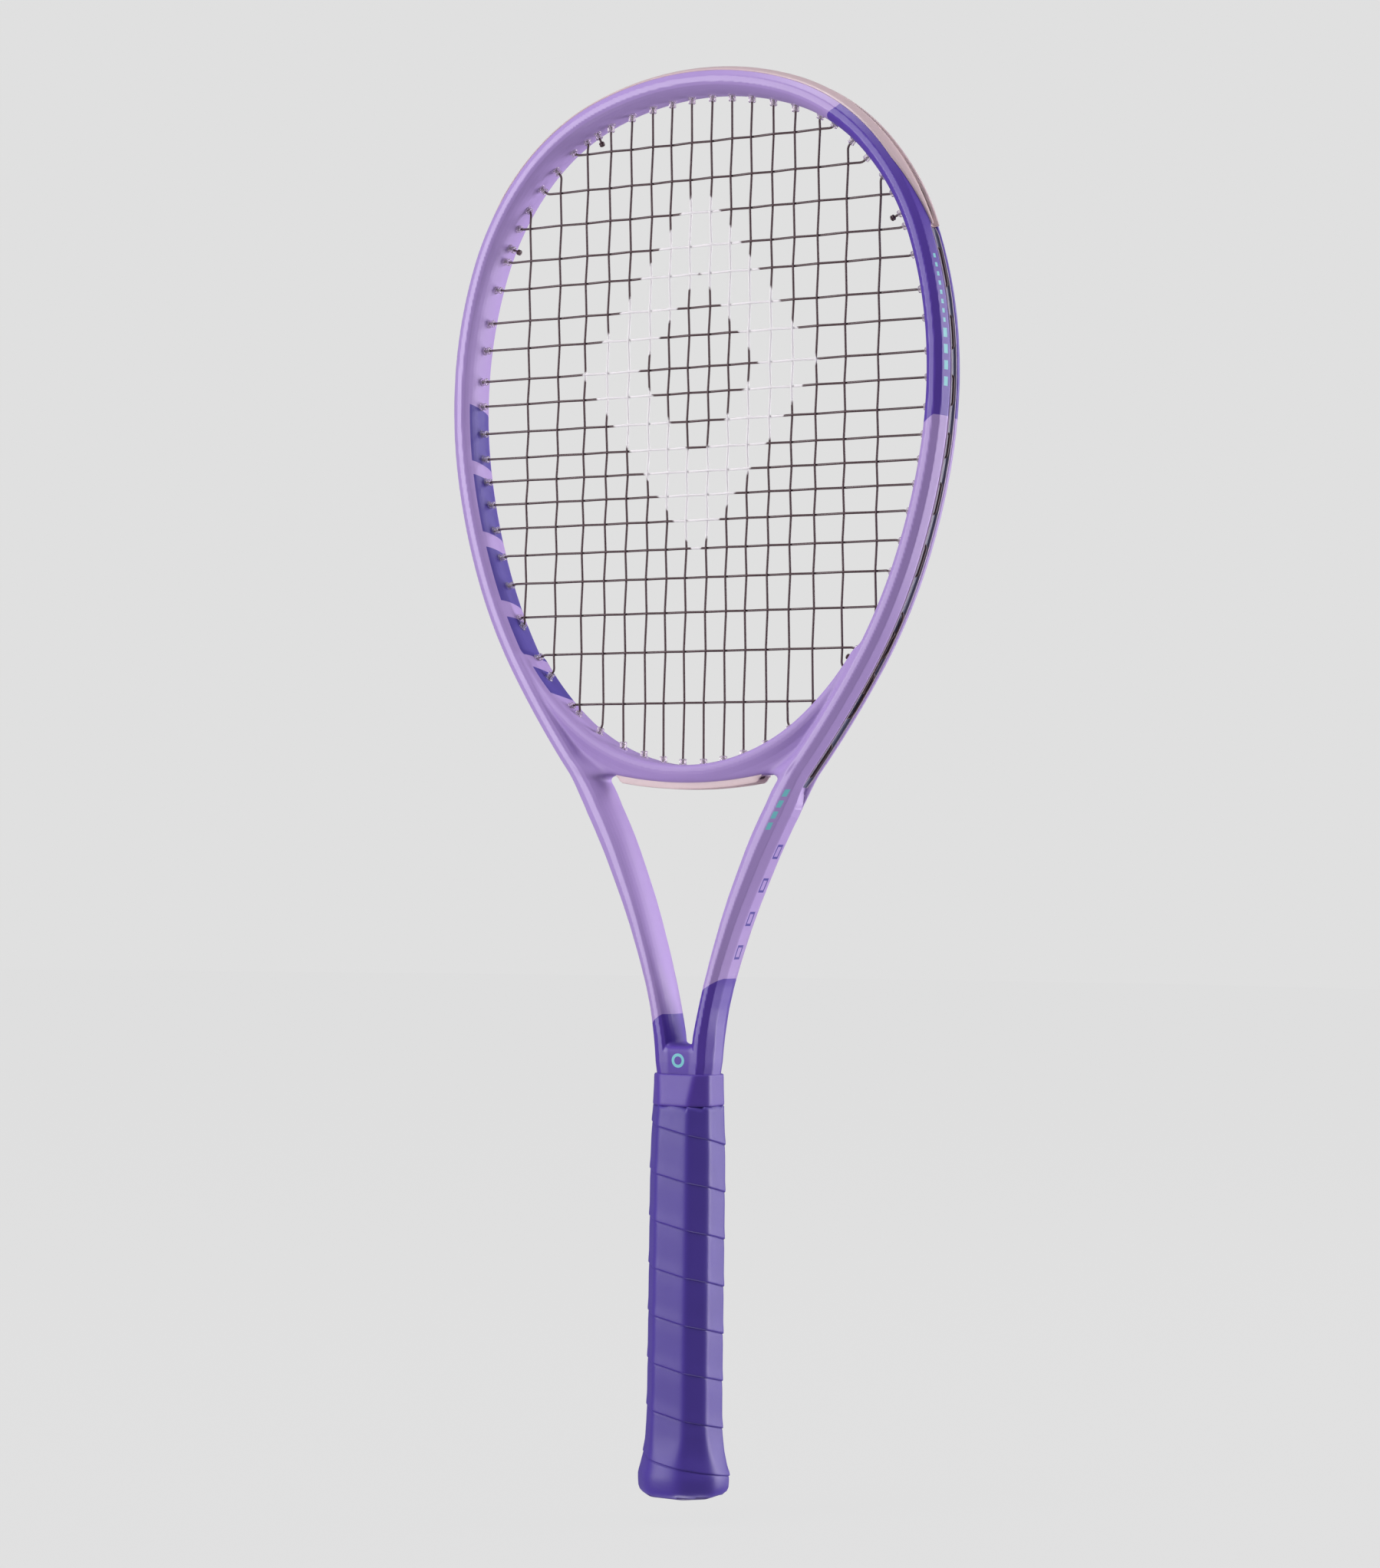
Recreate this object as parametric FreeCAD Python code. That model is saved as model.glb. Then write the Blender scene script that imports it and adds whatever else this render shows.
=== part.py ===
import FreeCAD, Part
import os, math
from FreeCAD import Vector as V

os.makedirs("parts", exist_ok=True)

# ---------------------------------------------------------------- driving dimensions (mm)
# Frame: +X to the right, -Y is the front face of the string bed, +Z from the butt to the tip.
# The origin is the centre of the flat butt face.
OVERALL_L = 685.8          # 27 in racket
HOOP_W = 12.0              # hoop tube, in the plane of the strings
BEAM_T = 24.0              # hoop tube, front to back
NECK_T = 23.0              # shafts, front to back
WALL = 1.6                 # laminate wall
GROOVE_D = 2.3             # string groove on the outer side of the hoop
TIP_CENTRE_Z = 678.06      # tube centreline at the tip
# centreline of the right half of the hairpin: (length, radius) of tangent arcs, from the tip.
# A negative radius bends outward.
TUBE_ARCS = [(52.339, 151.40), (52.296, 103.36), (52.419, 128.48), (51.952, 208.08), (51.998, 233.17),
             (51.968, 307.92), (51.729, 254.66), (52.342, 516.40), (53.477, -206.12), (52.327, 18888.85),
             (52.170, -137.98)]
HOOP_SEGS = 8              # arcs of constant section, the rest are the tapering shafts
# in-plane width of the shafts against height
SHAFT_W = [(351.0, 12.0), (338.0, 13.4), (314.0, 13.2), (299.0, 12.4), (285.0, 11.6), (270.0, 10.5),
           (255.0, 9.6), (245.0, 9.0), (233.0, 8.9), (226.0, 9.4), (218.5, 10.2)]
GROOVE_END_Z = 329.0       # the groove runs out on the outer side of the shafts
# opening inside the hoop: lower part of its outline
BED_R_LOW, BED_LOW_Z = 95.76, 348.22
BED_R_SIDE, BED_SIDE_TURN = 139.51, 20.5
BRIDGE_LOW_Z, BRIDGE_LOW_R = 339.8, 222.0
BRIDGE_T = 20.0
# strings
STRING_R = 0.55
WEAVE = 0.62
MAINS = [5.65, 16.49, 27.34, 38.99, 50.88, 63.77, 78.93, 96.27]
CROSSES = [649.9, 632.0, 615.7, 599.4, 585.8, 569.7, 556.2, 540.7, 528.3, 514.5, 501.7, 490.2, 478.7,
           466.5, 452.9, 438.8, 422.1, 403.2, 378.4]
LINE_U = 5.35              # string line in the groove, from the tube centreline
SIDE_STEP = 1.55           # a loop that passes another string's hole runs this far to its own side
HOLE_R, BARREL_R, BORE_R = 1.9, 1.8, 0.95
BARREL_OUT = 3.0           # barrels stand out inside the hoop
BUMPER_END_Z = 597.0
# handle
GRIP_STN = [(0.6, 18.9, 18.7), (3.0, 20.2, 20.0), (9.0, 20.7, 20.5), (15.0, 19.6, 19.4), (22.0, 17.9, 17.7),
            (29.0, 16.9, 16.7), (38.0, 16.5, 16.3), (150.0, 16.5, 16.3), (166.0, 16.1, 15.9),
            (180.0, 15.3, 15.1), (185.6, 15.0, 14.8)]
GRIP_T = 1.9
GRIP_CHAMFER = 0.485       # octagon corner, as a part of the half width
PALLET_A, PALLET_B = 14.5, 14.3
SHANK_X, SHANK_Y = 12.0, 9.5
COLLAR_Z0, COLLAR_Z1 = 186.0, 200.6
DOOR_GAP = 0.15


# ---------------------------------------------------------------- helpers
def lerp(tab, x):
    t = sorted(tab)
    if x <= t[0][0]:
        return t[0][1]
    for (a, va), (b, vb) in zip(t, t[1:]):
        if x <= b:
            return va + (vb - va) * (x - a) / (b - a)
    return t[-1][1]


def chain(arcs, x, z, th):
    """Start of each tangent arc of a planar chain: x, z, heading, length, radius."""
    out = []
    for L, R in arcs:
        out.append((x, z, th, L, R))
        t2 = th + L / R
        x += R * (math.sin(t2) - math.sin(th))
        z += R * (math.cos(t2) - math.cos(th))
        th = t2
    out.append((x, z, th, 0.0, 1e9))
    return out


TUBE = chain(TUBE_ARCS, 0.0, TIP_CENTRE_Z, 0.0)


def at(s):
    """Point and heading on the tube centreline at arc length s from the tip."""
    for x, z, th, L, R in TUBE[:-1]:
        if s <= L:
            t2 = th + s / R
            return x + R * (math.sin(t2) - math.sin(th)), z + R * (math.cos(t2) - math.cos(th)), t2
        s -= L
    x, z, th, _, _ = TUBE[-1]
    return x, z, th


def off(s, u, y=0.0):
    x, z, th = at(s)
    return V(x + math.sin(th) * u, y, z + math.cos(th) * u)


def wire(pts):
    return Part.makePolygon(list(pts) + [pts[0]])


def solid_of(shape):
    s = shape.Solids
    return s[0] if len(s) == 1 else shape


def mirror(s):
    return s.mirror(V(0, 0, 0), V(1, 0, 0))


def tube_section(w, t, g, q=1.0):
    """Outer outline in (u, y): flat front and back faces, bevels, a rounded inner side and the groove."""
    h, k, f = w / 2.0, w / 12.0, t / 24.0
    a = [(-h, 3.5 * f), (-h + 0.9 * k * q, 6.3 * f), (-h + 3.2 * k * q, 11.2 * f), (-h + 4.4 * k * q, 12 * f),
         (h - 4.6 * k, 12 * f), (h - 3.4 * k, 11.2 * f), (h - 0.7 * k, 6.0 * f), (h, 4.8 * f),
         (h, 3.6), (h - g, 3.0)]
    return [(u, -y) for u, y in a] + [(u, y) for u, y in reversed(a)]


def core_section(w, t, g):
    """Cavity outline in (u, y)."""
    h, k, f = w / 2.0, w / 12.0, t / 24.0
    b = [(-h + WALL, 4.2 * f), (-h + 4.7 * k, 12 * f - 1.8), (h - 5.2 * k, 12 * f - 1.8), (h - g - WALL, 4.0 * f)]
    return [(u, -y) for u, y in b] + [(u, y) for u, y in reversed(b)]


def place(sec, x, z, th):
    return [V(x + math.sin(th) * u, y, z + math.cos(th) * u) for u, y in sec]


def ring_arc(sec, s0, s1, trim=None):
    """Sweep a constant outline along the centreline between two arc lengths, one solid per arc."""
    out, s = [], 0.0
    for x, z, th, L, R in TUBE[:-1]:
        a, b = max(s0, s), min(s1, s + L)
        if b - a > 1e-6:
            px, pz, pt = at(a + 1e-9)
            c = V(px - math.sin(pt) * R, 0, pz - math.cos(pt) * R)
            f = Part.Face(wire(place(sec, px, pz, pt)))
            out.append(f.revolve(c, V(0, 1, 0), math.degrees((b - a) / R)))
        s += L
    return out


def ruled(wires):
    return Part.makeLoft(wires, True, True)


def fuse(items):
    items = list(items)
    r = items[0].multiFuse(items[1:]) if len(items) > 1 else items[0]
    return r


def save(name, shape, want=1):
    try:
        if shape.ShapeType != "Solid" or True:
            r = shape.removeSplitter()
            if r.isValid() and len(r.Solids) == len(shape.Solids):
                shape = r
    except Exception:
        pass
    ss = shape.Solids
    if len(ss) == 1:
        shape = ss[0]
    elif len(ss) > 1:
        shape = Part.makeCompound(ss)
    b = shape.optimalBoundingBox(False, False)
    print("%-22s solids %2d (want %d) valid %s vol %9.1f  z %.1f..%.1f x %.1f..%.1f y %.1f..%.1f faces %d" % (
        name, len(ss), want, shape.isValid(), shape.Volume, b.ZMin, b.ZMax, b.XMin, b.XMax, b.YMin, b.YMax,
        len(shape.Faces)))
    shape.exportStep("parts/%s.step" % name)
    return shape


def octagon(z, a, b, c=None):
    c = GRIP_CHAMFER * min(a, b) if c is None else c
    p = [(a, -b + c), (a, b - c), (a - c, b), (-a + c, b), (-a, b - c), (-a, -b + c), (-a + c, -b), (a - c, -b)]
    return wire([V(x, y, z) for x, y in p])


def rect(z, a, b):
    return wire([V(-a, -b, z), V(a, -b, z), V(a, b, z), V(-a, b, z)])


# ---------------------------------------------------------------- hollow hairpin tube
HOOP_L = sum(a[0] for a in TUBE_ARCS[:HOOP_SEGS])
TOTAL_L = sum(a[0] for a in TUBE_ARCS)


def shaft_stations():
    st = []
    for s in [HOOP_L + d for d in (0, 3.5, 7, 10.5, 14, 17.5, 21, 26, 32, 42, 53, 64, 75, 86, 97, 108, 119, 130, 141)]:
        x, z, th = at(s)
        if z < 217.5:
            break
        w = lerp(SHAFT_W, z)
        t = NECK_T + (BEAM_T - NECK_T) * max(0.0, min(1.0, (z - 325.0) / 26.0))
        xo, zo = x + math.sin(th) * 6, z + math.cos(th) * 6
        g = (GROOVE_D + 0.12) * max(0.0, min(1.0, (zo - GROOVE_END_Z) / 6.0))
        # the outer side keeps its line while the groove lasts, so the extra width goes inward
        k = max(0.0, min(1.0, (z - 316.0) / 16.0)) * max(0.0, w / 2 - HOOP_W / 2)
        st.append((x - math.sin(th) * k, z - math.cos(th) * k, th, w, t, max(g, 0.02), 1.0))
    # the two legs close on each other below the V and become the shank in the handle
    for z, xi, xo, t, q in [(212.0, 2.3, 15.4, 22.6, 0.8), (206.0, 0.0, 15.0, 22.2, 0.1), (200.0, 0.0, 14.2, 21.4, 0.05),
                            (194.0, 0.0, 13.2, 20.2, 0.05), (187.0, 0.0, SHANK_X, 2 * SHANK_Y, 0.05),
                            (14.0, 0.0, SHANK_X, 2 * SHANK_Y, 0.05)]:
        st.append(((xi + xo) / 2, z, math.pi / 2, xo - xi, t, 0.02, q))
    return st


STN = shaft_stations()
outer = ring_arc(tube_section(HOOP_W, BEAM_T, GROOVE_D), 0, HOOP_L)
outer.append(ruled([wire(place(tube_section(w, t, g, q), x, z, th)) for x, z, th, w, t, g, q in STN]))
inner = ring_arc(core_section(HOOP_W, BEAM_T, GROOVE_D), 0, HOOP_L)
cs = [wire(place(core_section(w, t, g), x, z, th)) for x, z, th, w, t, g, q in STN]
cs[-1] = wire([V(v.x, v.y, 12.0) for v in place(core_section(*STN[-1][3:6]), *STN[-1][:3])])
inner.append(ruled(cs))
outer_r = fuse(outer)
TUBE_OUT = fuse([outer_r, mirror(outer_r)])
inner_r = fuse(inner)
TUBE_IN = fuse([inner_r, mirror(inner_r)])
print("hairpin outer", TUBE_OUT.isValid(), len(TUBE_OUT.Solids), "core", TUBE_IN.isValid(), len(TUBE_IN.Solids))
frame = TUBE_OUT.cut(TUBE_IN)

# ---------------------------------------------------------------- where each string meets the hoop
N_SAMP = 4000


def side_curve():
    """Right half of the outline of the hoop opening: points with outward normals, from the tip down."""
    pts = []
    for i in range(N_SAMP):
        s = HOOP_L * i / (N_SAMP - 1.0)
        x, z, th = at(s)
        pts.append((x - math.sin(th) * HOOP_W / 2, z - math.cos(th) * HOOP_W / 2, math.sin(th), math.cos(th)))
    # lower part: side arc, then the low arc that the bridge carries
    cz = BED_LOW_Z + BED_R_LOW
    low = []
    a_end = math.radians(39.84)
    for i in range(600):
        a = a_end * i / 599.0
        low.append((BED_R_LOW * math.sin(a), cz - BED_R_LOW * math.cos(a), math.sin(a), -math.cos(a)))
    ex, ez = BED_R_LOW * math.sin(a_end), cz - BED_R_LOW * math.cos(a_end)
    c2x, c2z = ex - BED_R_SIDE * math.sin(a_end), ez + BED_R_SIDE * math.cos(a_end)
    for i in range(1, 600):
        a = a_end + math.radians(26.43) * i / 599.0
        low.append((c2x + BED_R_SIDE * math.sin(a), c2z - BED_R_SIDE * math.cos(a), math.sin(a), -math.cos(a)))
    low.reverse()
    # the opening is what both leave free: the smaller x at each height
    keep = [p for p in pts if p[1] > 421.5]
    return keep + [p for p in low if p[1] <= 421.5]


CURVE = side_curve()


def entry(kind, val, top=True, out=BARREL_OUT):
    """Where a string turns into its barrel: inside the hoop by the barrel's length and a little more."""
    depth = out + 1.7
    best = None
    for i, (x, z, nx, nz) in enumerate(CURVE):
        qx, qz = x - nx * depth, z - nz * depth
        if kind == "M":
            if (z > 520) != top:
                continue
            d = abs(qx - val)
        else:
            d = abs(qz - val)
        if best is None or d < best[0]:
            best = (d, i, qx, qz, nx, nz)
    d, i, qx, qz, nx, nz = best
    sd = (0.0, 1.0 if top else -1.0) if kind == "M" else (1.0, 0.0)
    ang = math.degrees(math.acos(max(-1, min(1, nx * sd[0] + nz * sd[1]))))
    return i, V(qx, 0, qz), (nx, nz), sd, ang


def axis_of(nrm, sd, ang, lean):
    k = lean / ang if ang > 1e-3 else 1.0
    x, z = nrm[0] * (1 - k) + sd[0] * k, nrm[1] * (1 - k) + sd[1] * k
    n = math.hypot(x, z)
    return V(x / n, 0, z / n)


def hit_tube(p, a):
    best = None
    for i in range(N_SAMP + 400):
        s = TOTAL_L * i / (N_SAMP + 399.0)
        if s > HOOP_L + 30:
            break
        q = off(s, LINE_U)
        t = (q - p).dot(a)
        if t < 6 or t > 60:
            continue
        d = (q - p - a * t).Length
        if best is None or d < best[0]:
            best = (d, s, p + a * t)
    return best[2], best[1]


BC_Z = BRIDGE_LOW_Z + BRIDGE_LOW_R
BRIDGE_LINE_R = BRIDGE_LOW_R + 0.3 + 0.1 + STRING_R


def hit_bridge(p, a):
    # circle about (0, BC_Z)
    dx, dz = p.x, p.z - BC_Z
    b = dx * a.x + dz * a.z
    c = dx * dx + dz * dz - BRIDGE_LINE_R ** 2
    t = -b + math.sqrt(b * b - c)
    return p + a * t


ENDS = {}
SHORT = {("M", 5, True), ("C", 0, True), ("M", 7, True), ("C", 2, True), ("C", 16, True), ("M", 7, False),
         ("C", 18, True), ("M", 5, False)}          # neighbours close together have short barrels
SHORT_OUT = 0.4
for j, m in enumerate(MAINS):
    for top in (True, False):
        i, vin, nrm, sd, ang = entry("M", m, top, SHORT_OUT if ("M", j, top) in SHORT else BARREL_OUT)
        if top:
            lean = ang if ang < 25 else (0.3 * ang if j == 5 else 0.0)
        else:
            lean = ang if j < 4 else 0.3 * ang
        vin = V(m, 0, vin.z)
        ax = axis_of(nrm, sd, ang, lean)
        if not top and j < 4:
            ENDS[("M", j, top)] = (vin, hit_bridge(vin, ax), ax, None)
        else:
            vo, s = hit_tube(vin, ax)
            ENDS[("M", j, top)] = (vin, vo, ax, s)
for j, c in enumerate(CROSSES):
    i, vin, nrm, sd, ang = entry("C", c, True, SHORT_OUT if ("C", j, True) in SHORT else BARREL_OUT)
    lean = 0.0 if j < 2 else (ang if ang < 14 else 0.4 * ang)
    vin = V(vin.x, 0, c)
    ax = axis_of(nrm, sd, ang, lean)
    vo, s = hit_tube(vin, ax)
    ENDS[("C", j, True)] = (vin, vo, ax, s)


def tie(s_tie, out=BARREL_OUT):
    """A square tie-off hole through the hoop at arc length s."""
    vo = off(s_tie, LINE_U)
    x, z, th = at(s_tie)
    ax = V(math.sin(th), 0, math.cos(th))
    return (vo - ax * (LINE_U + HOOP_W / 2 + out + 1.7), vo, ax, s_tie)


def s_of(kind, j, top=True):
    return ENDS[(kind, j, top)][3]


TIE_MAIN = tie(0.5 * (s_of("C", 2) + s_of("C", 3)))
TIE_C_TOP = tie(0.3 * s_of("M", 4) + 0.7 * s_of("M", 5))
TIE_C_LOW = tie(0.6 * s_of("C", 17) + 0.4 * s_of("M", 6, False), 1.5)


def mx(v):
    return V(-v.x, v.y, v.z)


def mir(e):
    return (mx(e[0]), mx(e[1]), mx(e[2]), e[3])


# every drilled hole: right side and left side lists of (vin, vout, axis, s)
right_holes = [e for e in ENDS.values()]
left_holes = [mir(e) for e in ENDS.values()]
right_holes += [TIE_MAIN, TIE_C_LOW]
left_holes += [mir(TIE_MAIN), mir(TIE_C_TOP)]


def cyl(p, q, r):
    d = q - p
    return Part.makeCylinder(r, d.Length, p, d)


drills = [cyl(e[0], e[1] + e[2] * 1.5, HOLE_R) for e in right_holes + left_holes]
frame = frame.cut(drills)
frame = save("frame_tube", frame)

# ---------------------------------------------------------------- throat bridge
cz = BED_LOW_Z + BED_R_LOW


def low_pt(a):
    return V(BED_R_LOW * math.sin(a), 0, cz - BED_R_LOW * math.cos(a))


A1 = math.radians(39.84)
ex = low_pt(A1)
c2 = V(ex.x - BED_R_SIDE * math.sin(A1), 0, ex.z + BED_R_SIDE * math.cos(A1))


def side_pt(a):
    return V(c2.x + BED_R_SIDE * math.sin(a), 0, c2.z - BED_R_SIDE * math.cos(a))


A2 = A1 + math.radians(BED_SIDE_TURN - 4.5)
horn = side_pt(A2)
edges = [Part.Arc(mx(ex), low_pt(0), ex).toShape(),
         Part.Arc(ex, side_pt((A1 + A2) / 2), horn).toShape()]
s_h = None
for i in range(2000):
    s = HOOP_L * i / 1999.0
    if at(s)[1] < horn.z - 2:
        s_h = s
        break
pr = [horn] + [off(s_h + k * (HOOP_L + 22 - s_h) / 6.0, -1.0) for k in range(7)]
# lower outline: shallow arc with a round into each shaft
xe = 41.5
zb = BC_Z - math.sqrt(BRIDGE_LOW_R ** 2 - xe ** 2)
low_end = V(xe, 0, zb)
corner = V(47.6, 0, zb - 5.2)
pr2 = [corner, low_end]
for a, b in zip(pr, pr[1:]):
    edges.append(Part.LineSegment(a, b).toShape())
edges.append(Part.LineSegment(pr[-1], corner + V(4, 0, -3)).toShape())
edges.append(Part.LineSegment(corner + V(4, 0, -3), corner).toShape())
midc = V(xe + 4.5, 0, zb - 0.8)
edges.append(Part.Arc(corner, midc, low_end).toShape())
edges.append(Part.Arc(low_end, V(0, 0, BRIDGE_LOW_Z), mx(low_end)).toShape())
L = []
for e in edges[1:-1]:
    L.append(e.mirror(V(0, 0, 0), V(1, 0, 0)))
bw = Part.Wire(Part.__sortEdges__(edges + L))
bf = Part.Face(bw)
bridge = bf.extrude(V(0, BRIDGE_T, 0))
bridge.translate(V(0, -BRIDGE_T / 2, 0))
bridge = bridge.cut(TUBE_OUT)
bridge = max(bridge.Solids, key=lambda q: q.Volume)


def band(r0, r1, y0, y1, xh):
    """Part of a ring about the bridge's low arc centre, between two radii, y limits and half width."""
    ring = Part.makeCylinder(r1, y1 - y0, V(0, y0, BC_Z), V(0, 1, 0)).cut(
        Part.makeCylinder(r0, y1 - y0 + 2, V(0, y0 - 1, BC_Z), V(0, 1, 0)))
    return ring.common(Part.makeBox(2 * xh, y1 - y0, 60, V(-xh, y0, BC_Z - r1 - 5)))


bridge = bridge.cut(band(BRIDGE_LOW_R - 1.2, BRIDGE_LOW_R + 2, -5.3, 5.3, 40.5))
bridge = bridge.cut([cyl(e[0], e[1] + e[2] * 1.5, HOLE_R) for e in right_holes + left_holes
                     if abs(e[0].x) < 92 and e[0].z < 430])
bridge = save("throat_bridge", max(bridge.Solids, key=lambda q: q.Volume))

# ---------------------------------------------------------------- grommet strips and bumper guard
h = HOOP_W / 2


def barrel(e):
    p = e[0] + e[2] * 1.7
    return cyl(p, e[1] - e[2] * 1.35, BARREL_R)


def turned(e, prof, spin):
    side = e[2].cross(V(0, 1, 0))
    side = FreeCAD.Rotation(e[2], spin).multVec(side)
    f = Part.Face(wire([e[0] + side * r + e[2] * t for r, t in prof]))
    return f.revolve(e[0], e[2], 360)


def cut_bore(body, e):
    """Bore with a flared outer mouth."""
    n = (e[1] - e[0]).Length

    def attempt(body, profs, lo, hi):
        for d in (0.0, 0.011, -0.013, 0.023, -0.027):
            for spin in (17.0, 61.0, 0.0, 113.0):
                try:
                    r = body.cut(turned(e, profs(d), spin))
                    dv = r.Volume - body.Volume
                    if not r.isNull() and r.isValid() and len(r.Solids) == len(body.Solids) and lo < dv < hi:
                        return r
                except Exception:
                    pass
        return None

    full = lambda d: [(0, -0.02), (BORE_R + d, -0.02), (BORE_R + d, n - 1.9 + d), (2.3 + d, n + 0.5), (2.3 + d, n + 2.0), (0, n + 2.0)]
    r = attempt(body, full, -120, -5)
    if r is not None:
        return r
    r = attempt(body, lambda d: [(0, -0.02), (BORE_R + d, -0.02), (BORE_R + d, n + 2), (0, n + 2)], -120, -5)
    print("plain bore", round(e[0].x, 1), round(e[0].z, 1), r is not None)
    if r is None:
        raise ValueError("bore")
    q = attempt(r, lambda d: [(BORE_R - 0.1, n - 1.85 + d), (2.25 + d, n + 0.5), (2.25 + d, n + 2.0), (BORE_R - 0.1, n + 2.0)], -30, -0.1)
    return q if q is not None else r


def strip(sec, s0, s1, holes, both=False):
    segs = ring_arc(sec, s0, s1)
    if both:
        segs += [mirror(q) for q in segs]
    body = fuse(segs)
    for e in holes:
        v0 = body.Volume
        body = body.fuse(barrel(e))
        if not body.isValid() or body.Volume < v0:
            print("barrel fault", round(e[0].x, 1), round(e[0].z, 1), body.isValid(), body.Volume - v0)
    for e in holes:
        body = cut_bore(body, e)
    return body


side_sec = [(h - GROOVE_D + 0.06, -2.85), (h + 0.5, -2.95), (h + 0.5, -2.35), (h - 1.4, -2.3), (h - 1.4, 2.3),
            (h + 0.5, 2.35), (h + 0.5, 2.95), (h - GROOVE_D + 0.06, 2.85)]
bump_sec = [(h - GROOVE_D + 0.06, -2.85), (h + 0.06, -3.62), (h + 0.06, -4.84), (h - 0.64, -6.06), (h - 2.45, -9.55),
            (h - 1.5, -9.9), (h + 0.7, -6.8), (h + 1.72, -4.8), (h + 1.72, -2.9), (h - 1.4, -2.3),
            (h - 1.4, 2.3), (h + 1.72, 2.9), (h + 1.72, 4.8), (h + 0.7, 6.8), (h - 1.5, 9.9), (h - 2.45, 9.55),
            (h - 0.64, 6.06), (h + 0.06, 4.84), (h + 0.06, 3.62), (h - GROOVE_D + 0.06, 2.85)]
s_bump = None
for i in range(4000):
    s = TOTAL_L * i / 3999.0
    if s_bump is None and at(s)[1] + 0 < BUMPER_END_Z:
        s_bump = s
s_end = None
for i in range(4000):
    s = TOTAL_L * i / 3999.0
    if off(s, h).z < GROOVE_END_Z + 7.5:
        s_end = s
        break
top_r = [e for e in right_holes if e[3] is not None and e[3] < s_bump]
top_l = [e for e in left_holes if e[3] is not None and e[3] < s_bump]
side_r = [e for e in right_holes if e[3] is not None and e[3] > s_bump]
side_l = [e for e in left_holes if e[3] is not None and e[3] > s_bump]
print("bumper ends at s", round(s_bump, 1), "strip ends at s", round(s_end, 1), "holes", len(top_r), len(side_r),
      "nearest", min(abs(e[3] - s_bump) for e in right_holes if e[3] is not None))
save("bumper_guard", strip(bump_sec, 0.0, s_bump - 0.4, top_r + top_l, both=True))
save("grommet_strip_right", strip(side_sec, s_bump + 0.4, s_end, side_r))
gl = strip([(u, y) for u, y in side_sec], s_bump + 0.4, s_end, [mir(e) for e in side_l])
save("grommet_strip_left", mirror(gl))

low_r = [e for e in right_holes if e[3] is None]
low_l = [e for e in left_holes if e[3] is None]
ts = band(BRIDGE_LOW_R - 1.1, BRIDGE_LOW_R + 0.3, -5.1, 5.1, 39.9)
ts = ts.fuse([band(BRIDGE_LOW_R - 1.1, BRIDGE_LOW_R + 3.2, -5.1, -3.9, 39.9),
              band(BRIDGE_LOW_R - 1.1, BRIDGE_LOW_R + 3.2, 3.9, 5.1, 39.9)])
ts = ts.fuse([cyl(e[0] + e[2] * 1.7, e[1] - e[2] * 1.35, BARREL_R) for e in low_r + low_l])
for e in low_r + low_l:
    ts = cut_bore(ts, e)
save("throat_grommet_strip", ts)

# ---------------------------------------------------------------- strings
def rounded(points):
    """Edges of straight runs joined by tangent arcs. points: (V, radius)."""
    pts = [points[0]]
    for p in points[1:]:
        if (p[0] - pts[-1][0]).Length > 1e-4:
            pts.append(p)
    cur, edges = pts[0][0], []
    n = len(pts)
    for i in range(1, n - 1):
        p, r = pts[i]
        a, b = pts[i - 1][0] - p, pts[i + 1][0] - p
        la, lb = a.Length, b.Length
        a.normalize(); b.normalize()
        turn = math.pi - a.getAngle(b)
        if turn < 1e-3:
            continue
        t = min(r * math.tan(turn / 2), 0.46 * la if i > 1 else 0.9 * la, 0.46 * lb if i < n - 2 else 0.9 * lb)
        r2 = t / math.tan(turn / 2)
        p0, p1 = p + a * t, p + b * t
        bis = (a + b); bis.normalize()
        c = p + bis * (r2 / math.cos(turn / 2))
        mid = c - bis * r2
        if (p0 - cur).Length > 1e-5:
            edges.append(Part.LineSegment(cur, p0).toShape())
        edges.append(Part.Arc(p0, mid, p1).toShape())
        cur = p1
    edges.append(Part.LineSegment(cur, pts[-1][0]).toShape())
    return edges


def sweep(edges, r):
    w = Part.Wire(edges)
    p0 = edges[0].Vertexes[0].Point
    d = edges[0].Vertexes[1].Point - p0
    c = Part.Wire(Part.Circle(p0, d, r).toShape())
    s = w.makePipeShell([c], True, False)
    L = sum(e.Length for e in edges)
    print("string length %.1f mm, edges %d, volume / (area x length) = %.5f, valid %s, radii min %.2f" % (
        L, len(edges), s.Volume / (math.pi * r * r * L), s.isValid(),
        min([e.Curve.Radius for e in edges if hasattr(e.Curve, "Radius")])))
    return s, L


def bed_cross_ok(m, j):
    return abs(m) < ENDS[("C", j, True)][0].x - 1.0


def loop_tube(e0, e1, side, other):
    """Points of an outer loop between two ends on one side (sx = +1 right, -1 left), ends excluded."""
    s0, s1 = e0[3], e1[3]
    sx = 1 if e0[1].x > 0 else -1
    lo, hi = min(s0, s1), max(s0, s1)
    passes = [o for o in other if lo - 2.5 < o < hi + 2.5]
    out = []
    n = max(2, int(round((hi - lo) / 7.0)))
    if passes:
        d = 3.6 if s1 > s0 else -3.6
        sl = [s0 + d] + [s0 + (s1 - s0) * k / n for k in range(1, n) if abs(s0 + (s1 - s0) * k / n - s0) > 7
                         and abs(s0 + (s1 - s0) * k / n - s1) > 7] + [s1 - d]
        out = [off(s, LINE_U, side) for s in sl]
    else:
        out = [off(s0 + (s1 - s0) * k / n, LINE_U) for k in range(1, n)]
    return [V(sx * p.x, p.y, p.z) for p in out]


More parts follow.
